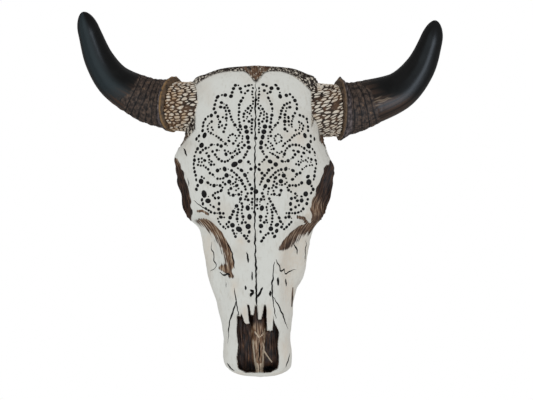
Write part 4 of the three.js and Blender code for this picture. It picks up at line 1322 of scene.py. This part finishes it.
def horn_paint():
    """Keratin look in acrylic: brown with dark ring lines where base is stored, satin black beyond, brown
    streaks between with a few worn pale lines, painted sheen (a bluish grey painted highlight) on the lower
    outer side of the black, a purple-grey collar and ochre on the lip."""
    material, tree, place = new_material("horn_brown_to_black_acrylic")
    stored = ("base", "groove", "streak", "ochre", "collar", "worn", "painted_sheen")
    noises = {"clouds": (14, 3), "dust": (4, 4), "grit": (1.4, 4)}
    ranges = {"grey": ("clouds", 0.4, 0.7), "dusty": ("dust", 0.35, 0.6), "sandy": ("dust", 0.62, 0.74)}
    ranges |= {"beaded": ("dust", 0.45, 0.65), "brushed": ("dust", 0.25, 0.5)}
    share = patterns(tree, place, stored, noises, ranges)
    base = brushed_edge(tree, share["base"], share["dust"], 0.4)
    ochre = add(tree, "Math", {0: share["ochre"], 1: share["brushed"]}, operation="MULTIPLY")
    # The bluish grey laid over the black is painted sheen: a painted highlight on the horn's lower outer
    # side.
    black = layered(tree, "#070708", (share["grey"], "#0d0e0f"), (share["painted_sheen"], "#1e292d"))
    beads = layered(tree, "#463c3d", (share["beaded"], "#6f6464"))
    brown = layered(tree, "#32251e", (share["dusty"], "#564438"), (share["sandy"], "#7c5f43"))
    brown = layered(tree, brown, (share["collar"], beads), (share["groove"], "#120c0a"))
    streaked = layered(tree, black, (share["streak"], "#3f2d22"), (share["worn"], "#a08c76"))
    colour = layered(tree, streaked, (base, brown), (ochre, "#94703c"))
    numbers = {"Value": base, "To Min": 0.34, "To Max": 0.66}
    dull = add(tree, "MapRange", numbers, interpolation_type="SMOOTHSTEP")
    relief = add(tree, "Bump", {"Height": share["grit"], "Strength": 0.15, "Distance": 0.4 * MM})
    return coated(material, {"Base Color": colour, "Roughness": dull, "Normal": relief, "IOR": ACRYLIC_IOR})


def horn_places(side):
    """Places on a sheath, in rows along it and columns round it: the share of its length, millimetres from
    the lip, the part of a turn, how low from -1 on the upper side to 1 on the lower one, the place on a
    straight cylinder, and unevenness of two sizes there."""
    line = horn_line(side)
    crowded = 1 - (1 - np.linspace(0, 1, HORN_ROWS)) ** ROW_CROWDING
    share = np.concatenate([[0, 0], crowded])[:, None]
    along = share * length_of(line)
    turn = np.arange(HORN_COLUMNS)[None] / HORN_COLUMNS
    base_radius = HORNS[side]["base_radius"]
    ring_x, ring_y = base_radius * np.cos(2 * np.pi * turn), base_radius * np.sin(2 * np.pi * turn)
    around = np.stack(np.broadcast_arrays(ring_x, ring_y, along), axis=-1)
    return SimpleNamespace(
        share=share,
        along=along,
        turn=turn,
        low=-np.sign(line[-1, 0]) * np.sin(2 * np.pi * turn),
        around=around,
        wander=ripple(around, 30, 31 + HORN_SEED[side]),
        lumps=ripple(around, 10, 41 + HORN_SEED[side]),
    )


def horn_base(side, at):
    """The old base of a sheath: its share, which fades out along the horn, the height of its relief, and how
    dark its grooves are. Cracks are the edges of brick-like cells, and the growth rings are a cosine wave."""
    start, end = BASE_END[side]
    base = 1 - smoothstep(at.share + 0.02 * at.wander - 0.02 * at.low, start, end)
    bricks = np.broadcast_arrays(at.turn * CRACKS_ROUND, at.along / RING_STEP + 0.35 * at.wander)
    edge = cell_edge(np.stack(bricks, axis=-1), BRICK_JITTER, wrap=CRACKS_ROUND)
    crack = 1 - smoothstep(edge, 0.02, 0.34)
    growth = np.cos(2 * np.pi * (at.along / GROWTH_STEP + 0.1 * at.wander))
    groove = np.clip(0.6 * crack + smoothstep(-growth, 0.75, 0.97), 0, 0.95)
    fibres = ripple(at.around * [1, 1, 0.12], 2.6, 51 + HORN_SEED[side])
    rough = base * (0.3 - 0.35 * crack + 0.3 * growth + 0.15 * fibres + 0.2 * at.lumps)
    return base, rough, groove


def horn_radius(side, at, rough):
    """Radius of a sheath: it falls as a power of the distance from the base, swells to a rim that is bevelled
    towards the core, and ends in a round tip."""
    horn = HORNS[side]
    base_radius = horn["base_radius"]
    taper = base_radius + (HORN_TIP_RADIUS - base_radius) * at.share**HORN_TAPER
    swell = bump(at.share - RING_SHARE / 2, RING_SHARE / 2) * (1 + 0.25 * at.lumps)
    rim = (horn["ring_radius"] - base_radius) * swell
    smooth = 0.25 * ripple(at.around * [1, 1, 0.4], 26, 61)
    lip = np.clip(at.along / BEVEL[side], 0, 1) ** 0.5
    tip = np.sqrt(1 - np.maximum(0, 1 - (1 - at.share) / HORN_TIP_LENGTH) ** 2)
    inner = horn["core_radius"] + LIP_GAP
    closed = np.concatenate([[0, CLOSING_SHARE], np.ones(HORN_ROWS)])[:, None]
    return (inner + (taper + rim + rough + smooth - inner) * lip) * tip * closed


def worn_share(side, at):
    """The pale worn lines: thin bells on the front of the horn that lean a little, each with a smooth start
    and end."""
    share = 0
    for place, first, last in WORN_LINES:
        line = bump(at.low - place - 0.25 * (at.share - first) + 0.02 * at.lumps, 0.022)
        begun = smoothstep(at.share, first - 0.015, first + 0.015)
        share = share + line * begun * (1 - smoothstep(at.share, last - 0.04, last))
    return WORN[side] * share * (np.cos(2 * np.pi * at.turn) < 0)


def horn_shares(side, at, base, groove):
    """Shares of the paints on a sheath: smooth steps along it and round it, broken up by its unevenness."""
    length = BEVEL[side]
    streaky = smoothstep(ripple(at.around * [1, 1, 0.05], 5, 71 + HORN_SEED[side]), -0.6, 0.6)
    upper_end, lower_end = STREAK_END[side]
    streak_end = upper_end + (lower_end - upper_end) * smoothstep(at.low, -0.5, 0.6)
    streak = (0.25 + 0.75 * streaky) * (1 - smoothstep(at.share, streak_end - 0.14, streak_end))
    bevel = 1 - smoothstep(at.along + 0.5 * at.lumps, 0.7 * length, 1.1 * length)
    rubbed_on = bump(at.along + 0.3 * at.lumps - 0.9 * length, 0.9)
    ochre = OCHRE[side] * np.clip(0.2 * bevel + 0.8 * rubbed_on, 0, 1)
    collar = (1 - smoothstep(at.along - length + 1.2 * at.wander, *COLLAR_END)) * (1 - bevel)
    # Painted sheen: the black's lower outer side is lightened to bluish grey as a painted highlight, mostly
    # on the left horn.
    painted_sheen = PAINTED_SHEEN[side] * smoothstep(at.low, -0.35, 0.25) * (1 - smoothstep(at.low, 0.7, 1.0))
    groove = np.maximum(groove, 0.5 * bevel) * (1 - ochre)
    shares = {"base": base, "groove": groove, "streak": streak, "ochre": ochre}
    return shares | {"collar": collar, "worn": worn_share(side, at), "painted_sheen": painted_sheen}


def horn_piece(side, paint):
    """A sheath: a tube of the radius above, with the shares of its paints stored on its vertices."""
    at = horn_places(side)
    base, rough, groove = horn_base(side, at)
    radius = horn_radius(side, at, rough)
    shares = horn_shares(side, at, base, groove)
    values = {key: np.broadcast_to(value, radius.shape).reshape(-1) for key, value in shares.items()}
    points = tube(horn_line(side), at.share[:, 0], radius).reshape(-1, 3)
    return outward(mesh_piece(f"sheath_{side}", points, grid_triangles(*radius.shape), [paint], values))


sheath_paint = horn_paint()
for side in HORNS:
    sheath = horn_piece(side, sheath_paint)
    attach(sheath, "root")
    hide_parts(f"horn_{side}")
    print(f"{sheath.name}: {len(sheath.data.polygons)} triangles")

# %% [markdown]
# ## Hanger
# A stamped strip of zinc-plated steel with teeth lies in the pocket and takes the nail. The frame's own
# solid is right, so it stays and only gets its finish. Two pan-head screws hold its feet. A screw's
# head is a dome over polar coordinates with a cross-shaped recess taken from its height.

# %% Hanger and screws
STRIP_Z, STRIP_FOOT_X, STRIP_FACE = 87, 24, 6.0
SCREW_ROWS, SCREW_COLUMNS = 22, 64
# How much longer than wide the rolling marks are, and the angle above which a screw's edge stays sharp.
ROLLING_STRETCH, SCREW_SHARP_ANGLE = 14, 35
SCREW_RADIUS, SCREW_HEIGHT, RECESS_HALF, RECESS_REACH, RECESS_DEPTH = 3.4, 1.9, 0.55, 2.1, 1.1


def zinc_paint():
    """Zinc-plated steel: a bright metal with faint cloudy crystals and fine rolling marks along the strip.
    The marks are drawn half a millimetre wide, coarser than real ones, so that they show."""
    material, tree, place = new_material("zinc_plated_steel")
    share = patterns(tree, place, (), {"crystals": (6, 3)}, {"cloudy": ("crystals", 0.35, 0.65)})
    along = add(tree, "Mapping", {"Vector": place, "Scale": (1 / ROLLING_STRETCH, 1, 1)})
    share |= patterns(tree, along, (), {"marks": (0.5, 2)}, {"dull": ("marks", 0.3, 0.7, 0.28, 0.45)})
    grey = layered(tree, "#9ea2a6", (share["cloudy"], "#c3c6c8"))
    return coated(material, {"Base Color": grey, "Roughness": share["dull"], "Metallic": 1.0})


def screw_head(side, paint):
    """A dome of an ellipse's height over a disc, less the recess, closed by a flat underside."""
    reaches = np.concatenate([np.linspace(0, 1, SCREW_ROWS), [0]])
    angles = np.arange(SCREW_COLUMNS) * 2 * np.pi / SCREW_COLUMNS
    reach, angle = np.meshgrid(reaches, angles, indexing="ij")
    x, z = SCREW_RADIUS * reach * np.cos(angle), SCREW_RADIUS * reach * np.sin(angle)
    height = 0.35 * SCREW_HEIGHT + 0.65 * SCREW_HEIGHT * np.sqrt(1 - reach**2)
    cross = np.minimum(np.abs(x), np.abs(z))
    narrow = 1 - smoothstep(cross, RECESS_HALF - 0.2, RECESS_HALF)
    recess = narrow * (1 - smoothstep(reach * SCREW_RADIUS, RECESS_REACH - 0.3, RECESS_REACH))
    height = height - RECESS_DEPTH * recess
    height[-2:] = 0
    points = np.stack([side * STRIP_FOOT_X + x, height - STRIP_FACE + 0.05, STRIP_Z + z], axis=-1)
    name = "screw_left" if side < 0 else "screw_right"
    return outward(mesh_piece(name, points.reshape(-1, 3), grid_triangles(*reach.shape), [paint]))


zinc = zinc_paint()
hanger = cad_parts["hanger"]
for material_slot in hanger.material_slots:
    material_slot.material = zinc
for side in (-1, 1):
    screw = screw_head(side, zinc)
    screw.data.set_sharp_from_angle(angle=np.radians(SCREW_SHARP_ANGLE))
    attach(screw, "root")
print("hanger finished with two screws")

# %% [markdown]
# ## Floor
# The floor lies well below the hanging skull, as it does under a thing on a wall. It is plain, pale and
# matt, with a faint unevenness so that it does not look drawn. The horns do not
# mirror it, as they do not mirror the rest of the bright studio.

# %% Floor
FLOOR_HEIGHT = -1500
FLOOR_HALF = 12000


def floor_paint():
    """Pale matt plaster: nearly white, with faint broad clouds."""
    material, tree, place = new_material("pale_matt_plaster")
    share = patterns(tree, place, (), {"sweeps": (900, 3)}, {"clouds": ("sweeps", 0.35, 0.65)})
    colour = layered(tree, "#f0efed", (share["clouds"], "#f6f5f4"))
    return coated(material, {"Base Color": colour, "Roughness": 0.9})


corner = np.array([[-1, -1], [1, -1], [1, 1], [-1, 1]]) * FLOOR_HALF
floor_points = np.column_stack([corner, np.full(4, FLOOR_HEIGHT)]).astype(float)
floor = mesh_piece("floor", floor_points, np.array([[0, 1, 2], [0, 2, 3]]), [floor_paint()])
floor.visible_glossy = False
floor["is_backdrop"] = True
print(f"floor {-FLOOR_HEIGHT} mm below the origin")

# %% [markdown]
# How far the dressed model's box differs from the solids' box at both ends of each axis is worked out
# and printed.

# %% Boxes and finish
visual_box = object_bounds()
growth = (np.array(visual_box) - np.array(cad_box)) / MM
print("grown by (mm):", growth.round(1).tolist())
